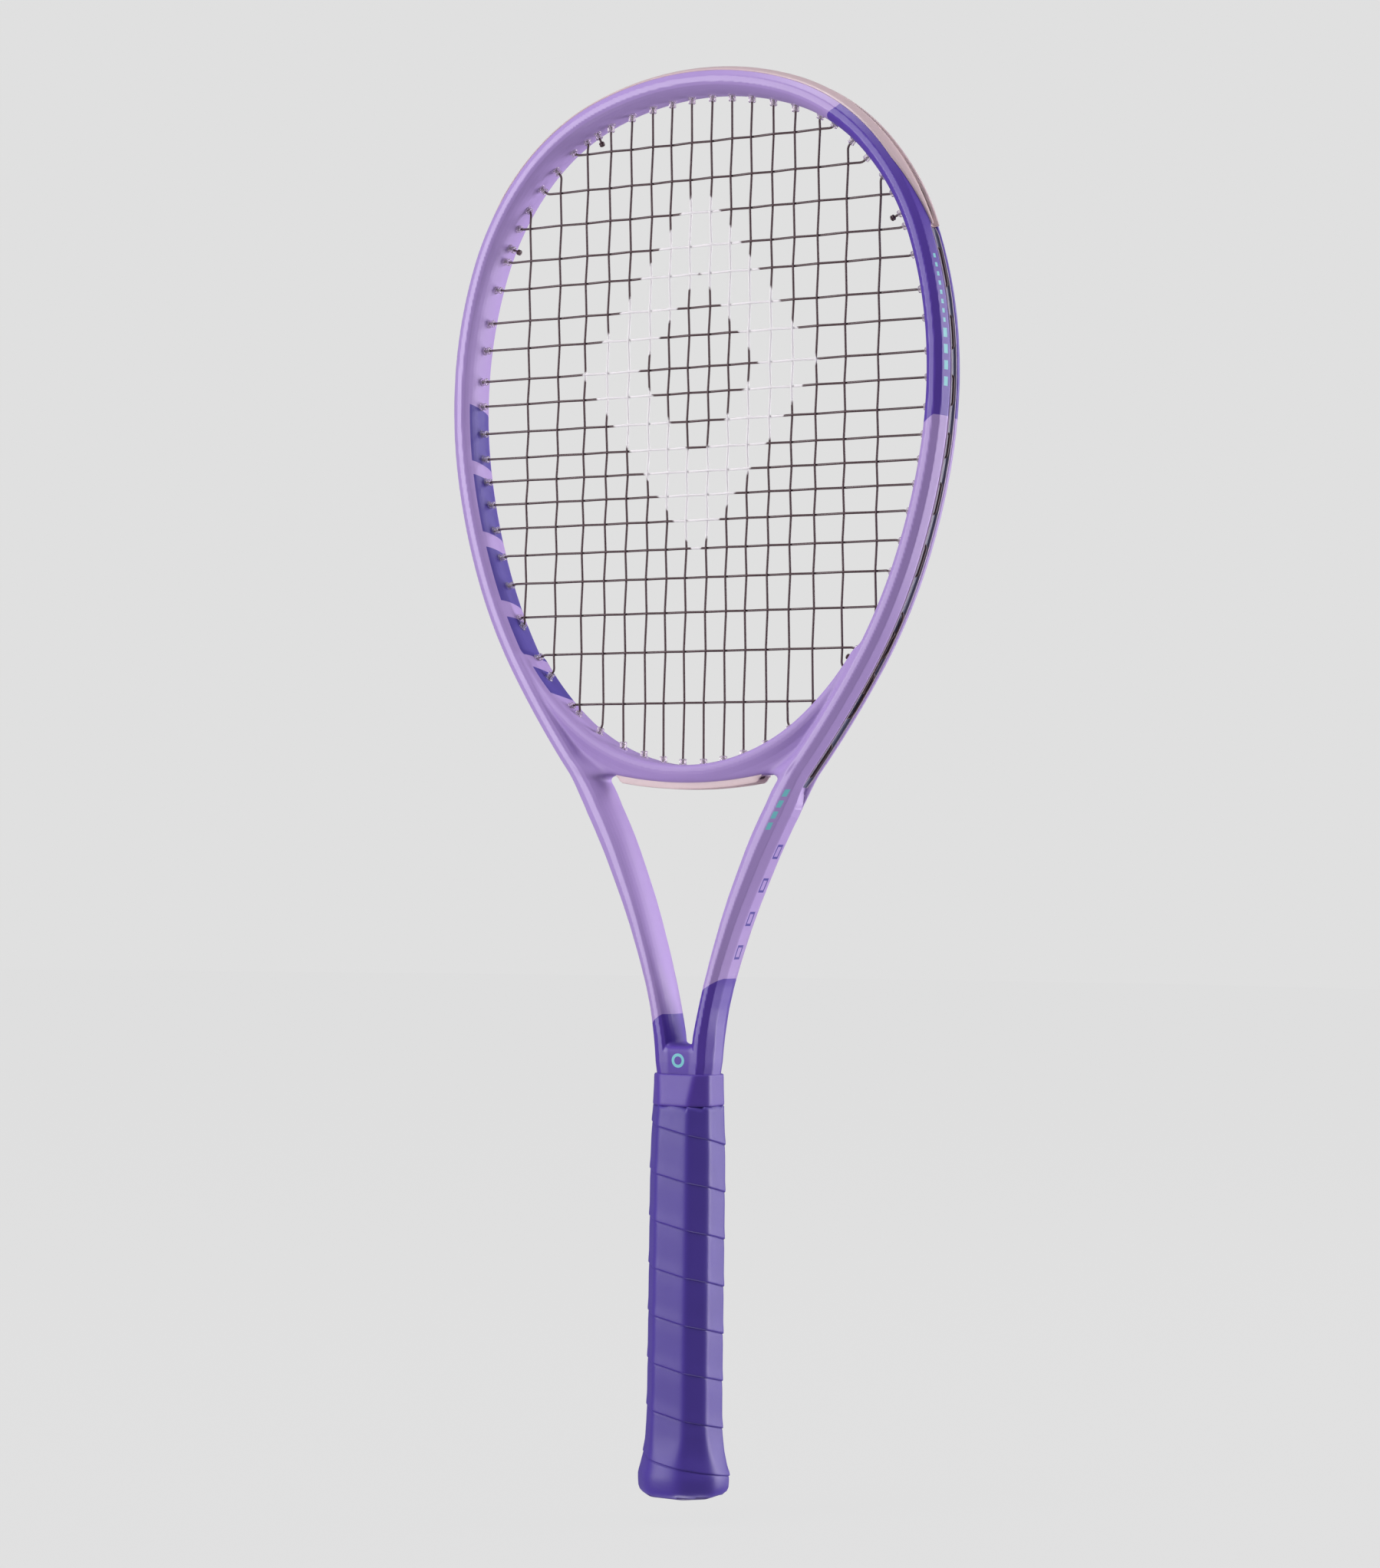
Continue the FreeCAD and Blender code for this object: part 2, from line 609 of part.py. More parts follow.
def main_end(i, top):
    """i = 0..15 from the left."""
    return ENDS[("M", i - 8, top)] if i >= 8 else mir(ENDS[("M", 7 - i, top)])


cross_s = {1: [s_of("C", j) for j in range(19)] + [TIE_C_TOP[3], TIE_C_LOW[3]]}
main_s = [ENDS[("M", j, True)][3] for j in range(8)] + [ENDS[("M", j, False)][3] for j in range(4, 8)] + [TIE_MAIN[3]]

pts = []
R_IN, R_OUT, R_WEAVE = 4.0, 1.5, 7.0
tm = mir(TIE_MAIN)
pts += [(tm[0] - tm[2] * 2.6, 1), (tm[1], R_OUT)]
pts += [(p, 6.0) for p in loop_tube(tm, main_end(0, True), -SIDE_STEP, cross_s[1])]
for i in range(16):
    x = MAINS[i - 8] if i >= 8 else -MAINS[7 - i]
    down = (i % 2 == 0)
    order = [True, False] if down else [False, True]
    e0, e1 = main_end(i, order[0]), main_end(i, order[1])
    pts.append((e0[1], R_OUT))
    rin = lambda e: min(R_IN, 2.4 / max(0.05, math.tan(0.5 * e[2].getAngle(V(0, 0, 1 if e[0].z > 500 else -1)))))
    pts.append((e0[0], rin(e0)))
    js = [j for j in range(19) if bed_cross_ok(x, j)]
    if not down:
        js.reverse()
    for j in js:
        pts.append((V(x, WEAVE * (1 if (i + j) % 2 else -1), CROSSES[j]), R_WEAVE))
    pts.append((e1[0], rin(e1)))
    pts.append((e1[1], R_OUT))
    if i < 15:
        nx = main_end(i + 1, order[1])
        if e1[3] is None:
            a0, a1 = math.atan2(e1[1].x, BC_Z - e1[1].z), math.atan2(nx[1].x, BC_Z - nx[1].z)
            for k in (1,):
                a = a0 + (a1 - a0) * 0.5
                pts.append((V(BRIDGE_LINE_R * math.sin(a), 0, BC_Z - BRIDGE_LINE_R * math.cos(a)), 60.0))
        elif i == 7:
            s0 = e1[3]
            for sx, s in ((-1, s0 * 0.45), (1, s0 * 0.45)):
                p = off(s, LINE_U)
                pts.append((V(sx * p.x, 0, p.z), 40.0))
        else:
            for p in loop_tube(e1, nx, -SIDE_STEP, cross_s[1]):
                pts.append((p, 6.0))
# the last main's free end goes back in at its own tie-off hole
pts += [(p, 6.0) for p in loop_tube(main_end(15, False if 15 % 2 == 0 else True), TIE_MAIN, -SIDE_STEP, cross_s[1])]
pts += [(TIE_MAIN[1], R_OUT), (TIE_MAIN[0] - TIE_MAIN[2] * 2.6, 1)]
main_edges = rounded(pts)
main_s_solid, L_MAIN = sweep(main_edges, STRING_R)


def knot(e):
    """Two turns of string round its own end, hard against the barrel."""
    c0 = e[0] - e[2] * 0.1
    return [Part.makeTorus(0.85, STRING_R, c0 - e[2] * k, e[2]) for k in (0.8, 1.75)]


def tie_knots(s, ends):
    for e in ends:
        for q in knot(e):
            r = s.fuse(q)
            if r.isValid() and len(r.Solids) == 1:
                s = r
            else:
                print("knot turn left off", r.isValid(), len(r.Solids))
    return s


main_string = save("main_string", tie_knots(main_s_solid, [TIE_MAIN, mir(TIE_MAIN)]))

pts = []
tc = mir(TIE_C_TOP)
pts += [(tc[0] - tc[2] * 2.6, 1), (tc[1], R_OUT)]
pts += [(p, 6.0) for p in loop_tube(tc, mir(ENDS[("C", 0, True)]), SIDE_STEP, main_s)]
for j in range(19):
    right = (j % 2 == 0)
    er, el = ENDS[("C", j, True)], mir(ENDS[("C", j, True)])
    e0, e1 = (el, er) if right else (er, el)
    pts.append((e0[1], R_OUT))
    rin = lambda e: min(R_IN, 2.4 / max(0.05, math.tan(0.5 * e[2].getAngle(V(1 if e[0].x > 0 else -1, 0, 0)))))
    pts.append((e0[0], rin(e0)))
    idx = [i for i in range(16) if bed_cross_ok(MAINS[i - 8] if i >= 8 else -MAINS[7 - i], j)]
    if not right:
        idx.reverse()
    for i in idx:
        x = MAINS[i - 8] if i >= 8 else -MAINS[7 - i]
        pts.append((V(x, -WEAVE * (1 if (i + j) % 2 else -1), CROSSES[j]), R_WEAVE))
    pts.append((e1[0], rin(e1)))
    pts.append((e1[1], R_OUT))
    if j < 18:
        nx = ENDS[("C", j + 1, True)]
        nx = nx if right else mir(nx)
        for p in loop_tube(e1, nx, SIDE_STEP, main_s):
            pts.append((p, 6.0))
    else:
        for p in loop_tube(e1, TIE_C_LOW, SIDE_STEP, main_s):
            pts.append((p, 6.0))
pts += [(TIE_C_LOW[1], R_OUT), (TIE_C_LOW[0] - TIE_C_LOW[2] * 2.6, 1)]
cross_edges = rounded(pts)
cross_solid, L_CROSS = sweep(cross_edges, STRING_R)
cross_string = save("cross_string", tie_knots(cross_solid, [tc, TIE_C_LOW]))

# ---------------------------------------------------------------- handle
c_p = 6.9
low = ruled([octagon(10.0, PALLET_A - 1.2, PALLET_B - 1.2, c_p - 0.7), octagon(40.0, PALLET_A - 1.2, PALLET_B - 1.2, c_p - 0.7)])
mid = ruled([octagon(40.0, PALLET_A, PALLET_B, c_p), octagon(150.0, PALLET_A, PALLET_B, c_p),
             octagon(166.0, PALLET_A - 0.4, PALLET_B - 0.4, c_p), octagon(180.0, PALLET_A - 1.0, PALLET_B - 1.1, c_p - 0.4),
             octagon(186.0, PALLET_A - 1.2, PALLET_B - 1.6, c_p - 0.5)])
pallet = low.fuse(mid)
shank_hole = ruled([rect(8.0, SHANK_X + 0.1, SHANK_Y + 0.1), rect(190.0, SHANK_X + 0.1, SHANK_Y + 0.1)])
pallet = pallet.cut(shank_hole)
boxf = Part.makeBox(60, 30, 220, V(-30, -30.05, 0))
boxb = Part.makeBox(60, 30, 220, V(-30, 0.05, 0))
pf, pb = pallet.common(boxf), pallet.common(boxb)

GRIP_OUT = ruled([octagon(z, a, b) for z, a, b in GRIP_STN])
cap_stn = [(0.6, 17.1, 16.9), (3.0, 18.4, 18.2), (9.0, 18.9, 18.7), (15.0, 17.8, 17.6), (22.0, 16.1, 15.9),
           (29.0, 14.9, 14.7), (34.0, PALLET_A, PALLET_B), (40.0, PALLET_A, PALLET_B)]
cap = ruled([octagon(z, a, b) for z, a, b in cap_stn])
foot = ruled([octagon(0.0, 16.4, 16.2), octagon(0.6, 17.1, 16.9)])
cap = cap.fuse(foot)
cap_in = ruled([octagon(9.9, PALLET_A - 1.1, PALLET_B - 1.1, c_p - 0.7), octagon(41.0, PALLET_A - 1.1, PALLET_B - 1.1, c_p - 0.7)])
room = ruled([octagon(2.4, 12.6, 12.4), octagon(9.9, 12.6, 12.4)])
cap = cap.cut([cap_in, room])
DOOR_A, DOOR_B = 9.6, 8.4
cap = cap.cut(ruled([octagon(-1.0, DOOR_A, DOOR_B), octagon(3.0, DOOR_A, DOOR_B)]))

# staples: two legs and a crown each, driven through the cap into the pallets, one in front and one behind
def staple(sign, z):
    y0 = sign * (PALLET_B + 0.02)
    yin = sign * (PALLET_B - 3.6)
    a = Part.makeBox(0.9, abs(y0 - yin), 0.6, V(-4.45, min(y0, yin), z))
    b = Part.makeBox(0.9, abs(y0 - yin), 0.6, V(3.55, min(y0, yin), z))
    yc = y0 if sign > 0 else y0 - 0.5
    c = Part.makeBox(8.9, 0.5, 0.6, V(-4.45, yc, z))
    return a.fuse([b, c])


st = [staple(-1, 35.0), staple(1, 35.0)]
pf, pb, cap = pf.cut(st), pb.cut(st), cap.cut(st)
save("pallet_front", pf)
save("pallet_back", pb)
save("butt_cap_staples", Part.makeCompound([q.removeSplitter() for q in st]), 2)

plate = ruled([octagon(0.35, DOOR_A - DOOR_GAP, DOOR_B - DOOR_GAP), octagon(2.2, DOOR_A - DOOR_GAP, DOOR_B - DOOR_GAP)])
skirt = ruled([octagon(2.2, DOOR_A - 1.0, DOOR_B - 1.0), octagon(7.0, DOOR_A - 1.0, DOOR_B - 1.0)]).cut(
    ruled([octagon(2.2, DOOR_A - 2.2, DOOR_B - 2.2), octagon(8.0, DOOR_A - 2.2, DOOR_B - 2.2)]))
save("butt_cap_door", plate.fuse(skirt))

# grip: cushioned strip wound round the handle; the turns show as grooves on the outside
gin = [(0.6, 17.15, 16.95), (3.0, 18.45, 18.25), (9.0, 18.95, 18.75), (15.0, 17.85, 17.65), (22.0, 16.15, 15.95),
       (29.0, 14.95, 14.75), (34.0, PALLET_A + 0.05, PALLET_B + 0.05)]
GRIP_IN = ruled([octagon(0.55, 17.12, 16.92)] + [octagon(z, a, b) for z, a, b in gin[1:]] +
                [octagon(40.0, PALLET_A + 0.05, PALLET_B + 0.05, c_p), octagon(150.0, PALLET_A + 0.05, PALLET_B + 0.05, c_p),
                 octagon(166.0, PALLET_A - 0.35, PALLET_B - 0.35, c_p), octagon(180.0, PALLET_A - 0.95, PALLET_B - 1.05, c_p - 0.4),
                 octagon(186.2, PALLET_A - 1.15, PALLET_B - 1.55, c_p - 0.5)])
grip = GRIP_OUT.cut(GRIP_IN)
st_room = [Part.makeBox(10.0, 1.0, 2.0, V(-5.0, -PALLET_B - 0.9, 34.3)), Part.makeBox(10.0, 1.0, 2.0, V(-5.0, PALLET_B - 0.1, 34.3))]
grip = grip.cut(st_room)
grip = max(grip.Solids, key=lambda q: q.Volume)

# tack that pins the start of the grip strip to the flare of the cap
px = 17.25
tack = Part.makeCylinder(1.6, 0.5, V(px + 1.42, 0, 14.0), V(1, 0, 0)).fuse(Part.makeCylinder(0.45, 3.4, V(px - 1.9, 0, 14.0), V(1, 0, 0)))
grip = grip.cut(tack)
cap = cap.cut(tack)
save("butt_cap", cap)
save("grip_tack", tack)
save("grip_wrap", grip)

# finishing tape over the top edge of the grip, and the rubber collar over both


def neck_oct(z, a, b, c):
    return octagon(z, a, b, c)


tape_o = ruled([neck_oct(186.0, 14.4, 13.9, 6.6), neck_oct(191.0, 14.0, 11.6, 4.9)])
tape_i = ruled([neck_oct(186.0, 13.9, 13.3, 6.4), neck_oct(191.0, 13.3, 11.05, 4.7)])
tape = tape_o.cut(tape_i)
save("finishing_tape", max(tape.cut(TUBE_OUT).Solids, key=lambda q: q.Volume))
col_o = ruled([neck_oct(185.7, 15.5, 15.2, 7.4), neck_oct(188.5, 15.6, 15.0, 7.2), neck_oct(196.0, 15.5, 13.6, 6.0),
               neck_oct(200.2, 15.4, 12.7, 5.1), neck_oct(200.6, 15.0, 12.3, 4.9)])
col_i = ruled([neck_oct(185.6, 14.5, 14.0, 6.65), neck_oct(186.1, 14.5, 14.0, 6.65), neck_oct(191.1, 14.1, 11.7, 4.95),
               neck_oct(200.7, 14.25, 10.85, 3.6)])
collar = col_o.cut(col_i).cut(TUBE_OUT)
save("rubber_collar", max(collar.Solids, key=lambda q: q.Volume))

# ---------------------------------------------------------------- inside the shank
plug = ruled([wire(place([(u * 0.985, y * 0.985) for u, y in core_section(SHANK_X, 2 * SHANK_Y, 0.02)], SHANK_X / 2, z, math.pi / 2))
              for z in (60.0, 180.0)])
save("shank_foam_right", plug)
save("shank_foam_left", mirror(plug))
wt = Part.makeBox(22.0, 17.0, 3.4, V(-11.0, -8.5, 10.3))
save("balance_weight", wt)
print("string lengths", round(L_MAIN), round(L_CROSS))
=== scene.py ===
import math

import bpy
import numpy as np
from mathutils import Matrix, Vector


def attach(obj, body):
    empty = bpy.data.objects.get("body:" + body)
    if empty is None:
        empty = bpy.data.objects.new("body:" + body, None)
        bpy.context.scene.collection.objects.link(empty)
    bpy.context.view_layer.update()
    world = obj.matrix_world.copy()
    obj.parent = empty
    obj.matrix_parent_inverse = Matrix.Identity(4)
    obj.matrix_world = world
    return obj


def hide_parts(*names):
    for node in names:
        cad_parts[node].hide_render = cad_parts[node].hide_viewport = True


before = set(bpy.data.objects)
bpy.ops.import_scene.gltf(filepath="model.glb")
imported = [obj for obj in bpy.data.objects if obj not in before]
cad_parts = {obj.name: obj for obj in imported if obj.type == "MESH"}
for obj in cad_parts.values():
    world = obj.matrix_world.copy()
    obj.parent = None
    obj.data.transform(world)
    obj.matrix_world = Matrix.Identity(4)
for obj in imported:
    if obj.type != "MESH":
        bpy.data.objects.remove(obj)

MM = 0.001
scene = bpy.context.scene
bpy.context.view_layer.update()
scene.view_settings.view_transform = "Standard"

# ---------------------------------------------------------------- camera
f_px, W_PX, H_PX = 4394.0, 1799, 2044
yaw, pitch, roll = math.radians(29.0), math.radians(-1.7), math.radians(0.782)
back = Vector((math.sin(yaw) * math.cos(pitch), -math.cos(yaw) * math.cos(pitch), math.sin(pitch)))
right = Vector((math.cos(yaw), math.sin(yaw), 0.0))
up = (-back).cross(right) * -1.0
cam_r = right * math.cos(roll) + up * math.sin(roll)
cam_u = up * math.cos(roll) - right * math.sin(roll)
cam_data = bpy.data.cameras.new("camera")
cam_data.sensor_fit = "AUTO"
cam_data.sensor_width = 36.0
cam_data.lens = f_px * 36.0 / H_PX
cam_data.clip_end = 20.0
cam = bpy.data.objects.new("camera", cam_data)
scene.collection.objects.link(cam)
rot = Matrix((cam_r, cam_u, back)).transposed()
cam.matrix_world = Matrix.Translation(Vector((784.16, -1417.58, 291.20)) * MM) @ rot.to_4x4()
scene.camera = cam


# ---------------------------------------------------------------- small node-graph writer
def lin(c):
    """sRGB 0..255 to linear."""
    out = []
    for v in c:
        v = v / 255.0
        out.append(v / 12.92 if v <= 0.04045 else ((v + 0.055) / 1.055) ** 2.4)
    return tuple(out) + (1.0,)


class Val:
    """A scalar in a node tree; python operators add maths nodes."""

    def __init__(self, g, sock):
        self.g, self.s = g, sock

    def _op(self, op, other=None, rev=False, third=None):
        n = self.g.t.nodes.new("ShaderNodeMath")
        n.operation = op
        args = [self] if other is None else ([other, self] if rev else [self, other])
        if third is not None:
            args.append(third)
        for i, a in enumerate(args):
            if isinstance(a, Val):
                self.g.t.links.new(a.s, n.inputs[i])
            else:
                n.inputs[i].default_value = float(a)
        return Val(self.g, n.outputs[0])

    def __add__(self, o): return self._op("ADD", o)
    def __radd__(self, o): return self._op("ADD", o, True)
    def __sub__(self, o): return self._op("SUBTRACT", o)
    def __rsub__(self, o): return self._op("SUBTRACT", o, True)
    def __mul__(self, o): return self._op("MULTIPLY", o)
    def __rmul__(self, o): return self._op("MULTIPLY", o, True)
    def __truediv__(self, o): return self._op("DIVIDE", o)
    def __rtruediv__(self, o): return self._op("DIVIDE", o, True)
    def __neg__(self): return self._op("MULTIPLY", -1.0)
    def min(self, o): return self._op("MINIMUM", o)
    def max(self, o): return self._op("MAXIMUM", o)
    def abs(self): return self._op("ABSOLUTE")
    def sqrt(self): return self._op("SQRT")
    def frac(self): return self._op("FRACT")
    def floor(self): return self._op("FLOOR")
    def sin(self): return self._op("SINE")

    def above(self, edge, soft=0.05):
        """0 below edge, 1 above it, over a soft step."""
        n = self.g.t.nodes.new("ShaderNodeMapRange")
        n.interpolation_type = "SMOOTHSTEP"
        d = self - edge
        self.g.t.links.new(d.s, n.inputs["Value"])
        n.inputs["From Min"].default_value = -soft
        n.inputs["From Max"].default_value = soft
        return Val(self.g, n.outputs["Result"])

    def below(self, edge, soft=0.05):
        return 1.0 - self.above(edge, soft)

    def between(self, a, b, soft=0.05):
        return self.above(a, soft) * self.below(b, soft)

    def ramp(self, a, b, lo=0.0, hi=1.0, smooth=False):
        n = self.g.t.nodes.new("ShaderNodeMapRange")
        if smooth:
            n.interpolation_type = "SMOOTHSTEP"
        self.g.t.links.new(self.s, n.inputs["Value"])
        for k, v in (("From Min", a), ("From Max", b), ("To Min", lo), ("To Max", hi)):
            n.inputs[k].default_value = v
        return Val(self.g, n.outputs["Result"])


class Graph:
    """One material, with the object coordinates in millimetres and helpers for noise, colour and bump."""

    def __init__(self, name):
        self.m = bpy.data.materials.new(name)
        self.m.use_nodes = True
        self.t = self.m.node_tree
        self.bsdf = self.t.nodes["Principled BSDF"]
        co = self.t.nodes.new("ShaderNodeTexCoord")
        vm = self.t.nodes.new("ShaderNodeVectorMath")
        vm.operation = "SCALE"
        vm.inputs["Scale"].default_value = 1000.0
        self.t.links.new(co.outputs["Object"], vm.inputs[0])
        self.p = vm.outputs[0]
        sp = self.t.nodes.new("ShaderNodeSeparateXYZ")
        self.t.links.new(self.p, sp.inputs[0])
        self.x, self.y, self.z = (Val(self, sp.outputs[i]) for i in range(3))

    def attr(self, name):
        n = self.t.nodes.new("ShaderNodeAttribute")
        n.attribute_type = "GEOMETRY"
        n.attribute_name = name
        return Val(self, n.outputs["Fac"])

    def vec(self, x, y, z):
        n = self.t.nodes.new("ShaderNodeCombineXYZ")
        for i, a in enumerate((x, y, z)):
            if isinstance(a, Val):
                self.t.links.new(a.s, n.inputs[i])
            else:
                n.inputs[i].default_value = float(a)
        return n.outputs[0]

    def noise(self, per_mm, detail=3.0, rough=0.5, vec=None):
        n = self.t.nodes.new("ShaderNodeTexNoise")
        n.inputs["Scale"].default_value = per_mm
        n.inputs["Detail"].default_value = detail
        n.inputs["Roughness"].default_value = rough
        self.t.links.new(vec or self.p, n.inputs["Vector"])
        return Val(self, n.outputs["Fac"])

    def voronoi(self, per_mm, feature="F1", vec=None):
        n = self.t.nodes.new("ShaderNodeTexVoronoi")
        n.feature = feature
        n.inputs["Scale"].default_value = per_mm
        self.t.links.new(vec or self.p, n.inputs["Vector"])
        return Val(self, n.outputs["Distance"])

    def mix(self, fac, a, b):
        n = self.t.nodes.new("ShaderNodeMix")
        n.data_type = "RGBA"
        n.clamp_factor = True
        self.t.links.new(fac.s, n.inputs["Factor"])
        for sock, c in (("A", a), ("B", b)):
            s = [q for q in n.inputs if q.name == sock and q.type == "RGBA"][0]
            if isinstance(c, tuple):
                s.default_value = c
            else:
                self.t.links.new(c, s)
        return [q for q in n.outputs if q.type == "RGBA"][0]

    def tint(self, col, val, lo, hi):
        """Colour col scaled in brightness by val from lo to hi."""
        k = val.ramp(0.0, 1.0, lo, hi)
        n = self.t.nodes.new("ShaderNodeVectorMath")
        n.operation = "SCALE"
        if isinstance(col, tuple):
            n.inputs[0].default_value = col[:3]
        else:
            self.t.links.new(col, n.inputs[0])
        self.t.links.new(k.s, n.inputs["Scale"])
        return n.outputs[0]

    def set(self, name, v):
        s = self.bsdf.inputs[name]
        if isinstance(v, Val):
            self.t.links.new(v.s, s)
        elif isinstance(v, (float, int)):
            s.default_value = v
        elif isinstance(v, tuple):
            s.default_value = v
        else:
            self.t.links.new(v, s)

    def bump(self, height, dist_mm, strength=1.0):
        """Bump from a height in millimetres-like units (1 = dist_mm)."""
        n = self.t.nodes.new("ShaderNodeBump")
        n.inputs["Strength"].default_value = strength
        n.inputs["Distance"].default_value = dist_mm * MM
        self.t.links.new(height.s, n.inputs["Height"])
        self.t.links.new(n.outputs["Normal"], self.bsdf.inputs["Normal"])


def assign(ob, mat):
    ob.data.materials.clear()
    ob.data.materials.append(mat)


def put(name, mat):
    """Material on a carried-over CAD node."""
    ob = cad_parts[name]
    for i in range(len(ob.material_slots)):
        ob.material_slots[i].material = mat


def mesh_object(name, verts, faces, mat, smooth=True, normals=None):
    me = bpy.data.meshes.new(name)
    me.from_pydata([tuple(v) for v in verts], [], [tuple(f) for f in faces])
    me.update()
    me.validate()
    ob = bpy.data.objects.new(name, me)
    scene.collection.objects.link(ob)
    if smooth:
        me.shade_smooth()
    if normals is not None:
        me.normals_split_custom_set_from_vertices([tuple(n) for n in normals])
    if mat is not None:
        me.materials.append(mat)
    return ob


# ---------------------------------------------------------------- shape of the hairpin (mm)
TUBE_ARCS = [(52.339, 151.40), (52.296, 103.36), (52.419, 128.48), (51.952, 208.08), (51.998, 233.17),
             (51.968, 307.92), (51.729, 254.66), (52.342, 516.40), (53.477, -206.12), (52.327, 18888.85),
             (52.170, -137.98)]
TIP_CENTRE_Z = 678.06
SHAFT_W = [(218.5, 10.2), (226.0, 9.4), (233.0, 8.9), (245.0, 9.0), (255.0, 9.6), (270.0, 10.5), (285.0, 11.6),
           (299.0, 12.4), (314.0, 13.2), (338.0, 13.4), (351.0, 12.0)]
NECK = [(187.0, 0.0, 12.0, 19.0), (194.0, 0.0, 13.2, 20.2), (200.0, 0.0, 14.2, 21.4), (206.0, 0.0, 15.0, 22.2),
        (212.0, 2.3, 15.4, 22.6)]
GROOVE_D, GROOVE_END_Z = 2.3, 329.0
V_FLOOR_Z = 214.0
BED_R_LOW, BED_LOW_Z, BED_R_SIDE = 95.76, 348.22, 139.51
BRIDGE_LOW_Z, BRIDGE_LOW_R = 339.8, 222.0
BC_Z = BRIDGE_LOW_Z + BRIDGE_LOW_R

CH = []
_x, _z, _th = 0.0, TIP_CENTRE_Z, 0.0
for _L, _R in TUBE_ARCS:
    CH.append((_x, _z, _th, _L, _R))
    _t2 = _th + _L / _R
    _x += _R * (math.sin(_t2) - math.sin(_th))
    _z += _R * (math.cos(_t2) - math.cos(_th))
    _th = _t2
CH_END = (_x, _z, _th)


def at(s):
    for x, z, th, L, R in CH:
        if s <= L:
            t2 = th + s / R
            return x + R * (math.sin(t2) - math.sin(th)), z + R * (math.cos(t2) - math.cos(th)), t2
        s -= L
    return CH_END


def off(s, u, y=0.0):
    x, z, th = at(s)
    return Vector((x + math.sin(th) * u, y, z + math.cos(th) * u))


def nearest(x, z):
    """Arc length, outward offset and centreline height at the nearest point of the centreline."""
    best = np.full(x.shape, 1e9)
    S, U, ZC, TH = (np.zeros(x.shape) for _ in range(4))
    s0 = 0.0
    for ax, az, th, L, R in CH:
        cx, cz = ax - math.sin(th) * R, az - math.cos(th) * R
        sg = 1.0 if R > 0 else -1.0
        dx, dz = (x - cx) * sg, (z - cz) * sg
        r = np.hypot(dx, dz)
        ang = np.arctan2(dx, dz) - th
        ang = (ang + math.pi) % (2 * math.pi) - math.pi
        ls = ang * R
        lc = np.clip(ls, 0.0, L)
        t2 = th + lc / R
        px, pz = ax + R * (np.sin(t2) - math.sin(th)), az + R * (np.cos(t2) - math.cos(th))
        d = np.hypot(x - px, z - pz)
        u = (x - px) * np.sin(t2) + (z - pz) * np.cos(t2)
        m = d < best - 1e-7
        best = np.where(m, d, best)
        S, U, ZC, TH = np.where(m, s0 + lc, S), np.where(m, u, U), np.where(m, pz, ZC), np.where(m, t2, TH)
        s0 += L
    return S, U, ZC, TH, best


def smooth01(t):
    t = np.clip(t, 0, 1)
    return t * t * (3 - 2 * t)


def smax(a, b, k):
    h = np.maximum(k - np.abs(a - b), 0.0) / k
    return np.maximum(a, b) + h * h * k * 0.25


def smin(a, b, k):
    return -smax(-a, -b, k)


def shrink(pts, r):
    """The convex chain pts, from one side of the section to the other, moved inward by r."""
    ln = []
    for a, b in zip(pts, pts[1:]):
        dx, dy = b[0] - a[0], b[1] - a[1]
        n = math.hypot(dx, dy)
        nx, ny = -dy / n, dx / n
        ln.append((nx, ny, nx * a[0] + ny * a[1] - r))
    out = [(pts[0][0] + r, 0.0)]
    for (a1, b1, c1), (a2, b2, c2) in zip(ln, ln[1:]):
        d = a1 * b2 - a2 * b1
        out.append(((c1 * b2 - c2 * b1) / d, (a1 * c2 - a2 * c1) / d))
    out.append((pts[-1][0] - r, 0.0))
    return out


def chain_distance(u, y, pts):
    """Signed distance to a convex outline given by its half with y >= 0, negative inside."""
    best = np.full(u.shape, 1e9)
    side = np.full(u.shape, -1e9)
    for a, b in zip(pts, pts[1:]):
        dx, dy = b[0] - a[0], b[1] - a[1]
        n = math.hypot(dx, dy)
        t = np.clip(((u - a[0]) * dx + (y - a[1]) * dy) / (n * n), 0, 1)
        best = np.minimum(best, np.hypot(u - a[0] - t * dx, y - a[1] - t * dy))
        side = np.maximum(side, (u - a[0]) * (-dy / n) + (y - a[1]) * (dx / n))
    return np.where(side < 0, side, best)


ROUND = 0.8
# outline of the 12 by 24 mm section from the inner side to the outer side, y >= 0
SECTION = [(-6.0, 0.0), (-5.97, 1.6), (-5.85, 3.4), (-5.55, 5.3), (-5.0, 7.3), (-4.2, 9.3), (-3.2, 11.1), (-1.75, 12.0),
           (1.1, 12.0), (3.9, 9.9), (5.75, 4.9), (6.0, 4.0), (6.0, 0.0)]
SECTION_IN = shrink(SECTION, ROUND)
# the same without its inner side, for the joined neck
OPEN_SEC = [(-30.0, 0.0), (-30.0, 12.0), (1.1, 12.0), (3.9, 9.9), (5.75, 4.9), (6.0, 4.0), (6.0, 0.0)]
OPEN_IN = shrink(OPEN_SEC, ROUND)


LEG_Z = [205.0, 216.0, 227.0, 238.0, 249.5, 260.5, 272.0, 283.0, 294.0, 305.0, 316.0, 327.0, 338.0, 346.0]
LEG_DX = [0.8, 1.2, 1.6, 1.7, 1.4, 0.5, -0.25, -0.55, -0.4, -0.1, 0.3, 0.9, 0.6, 0.0]


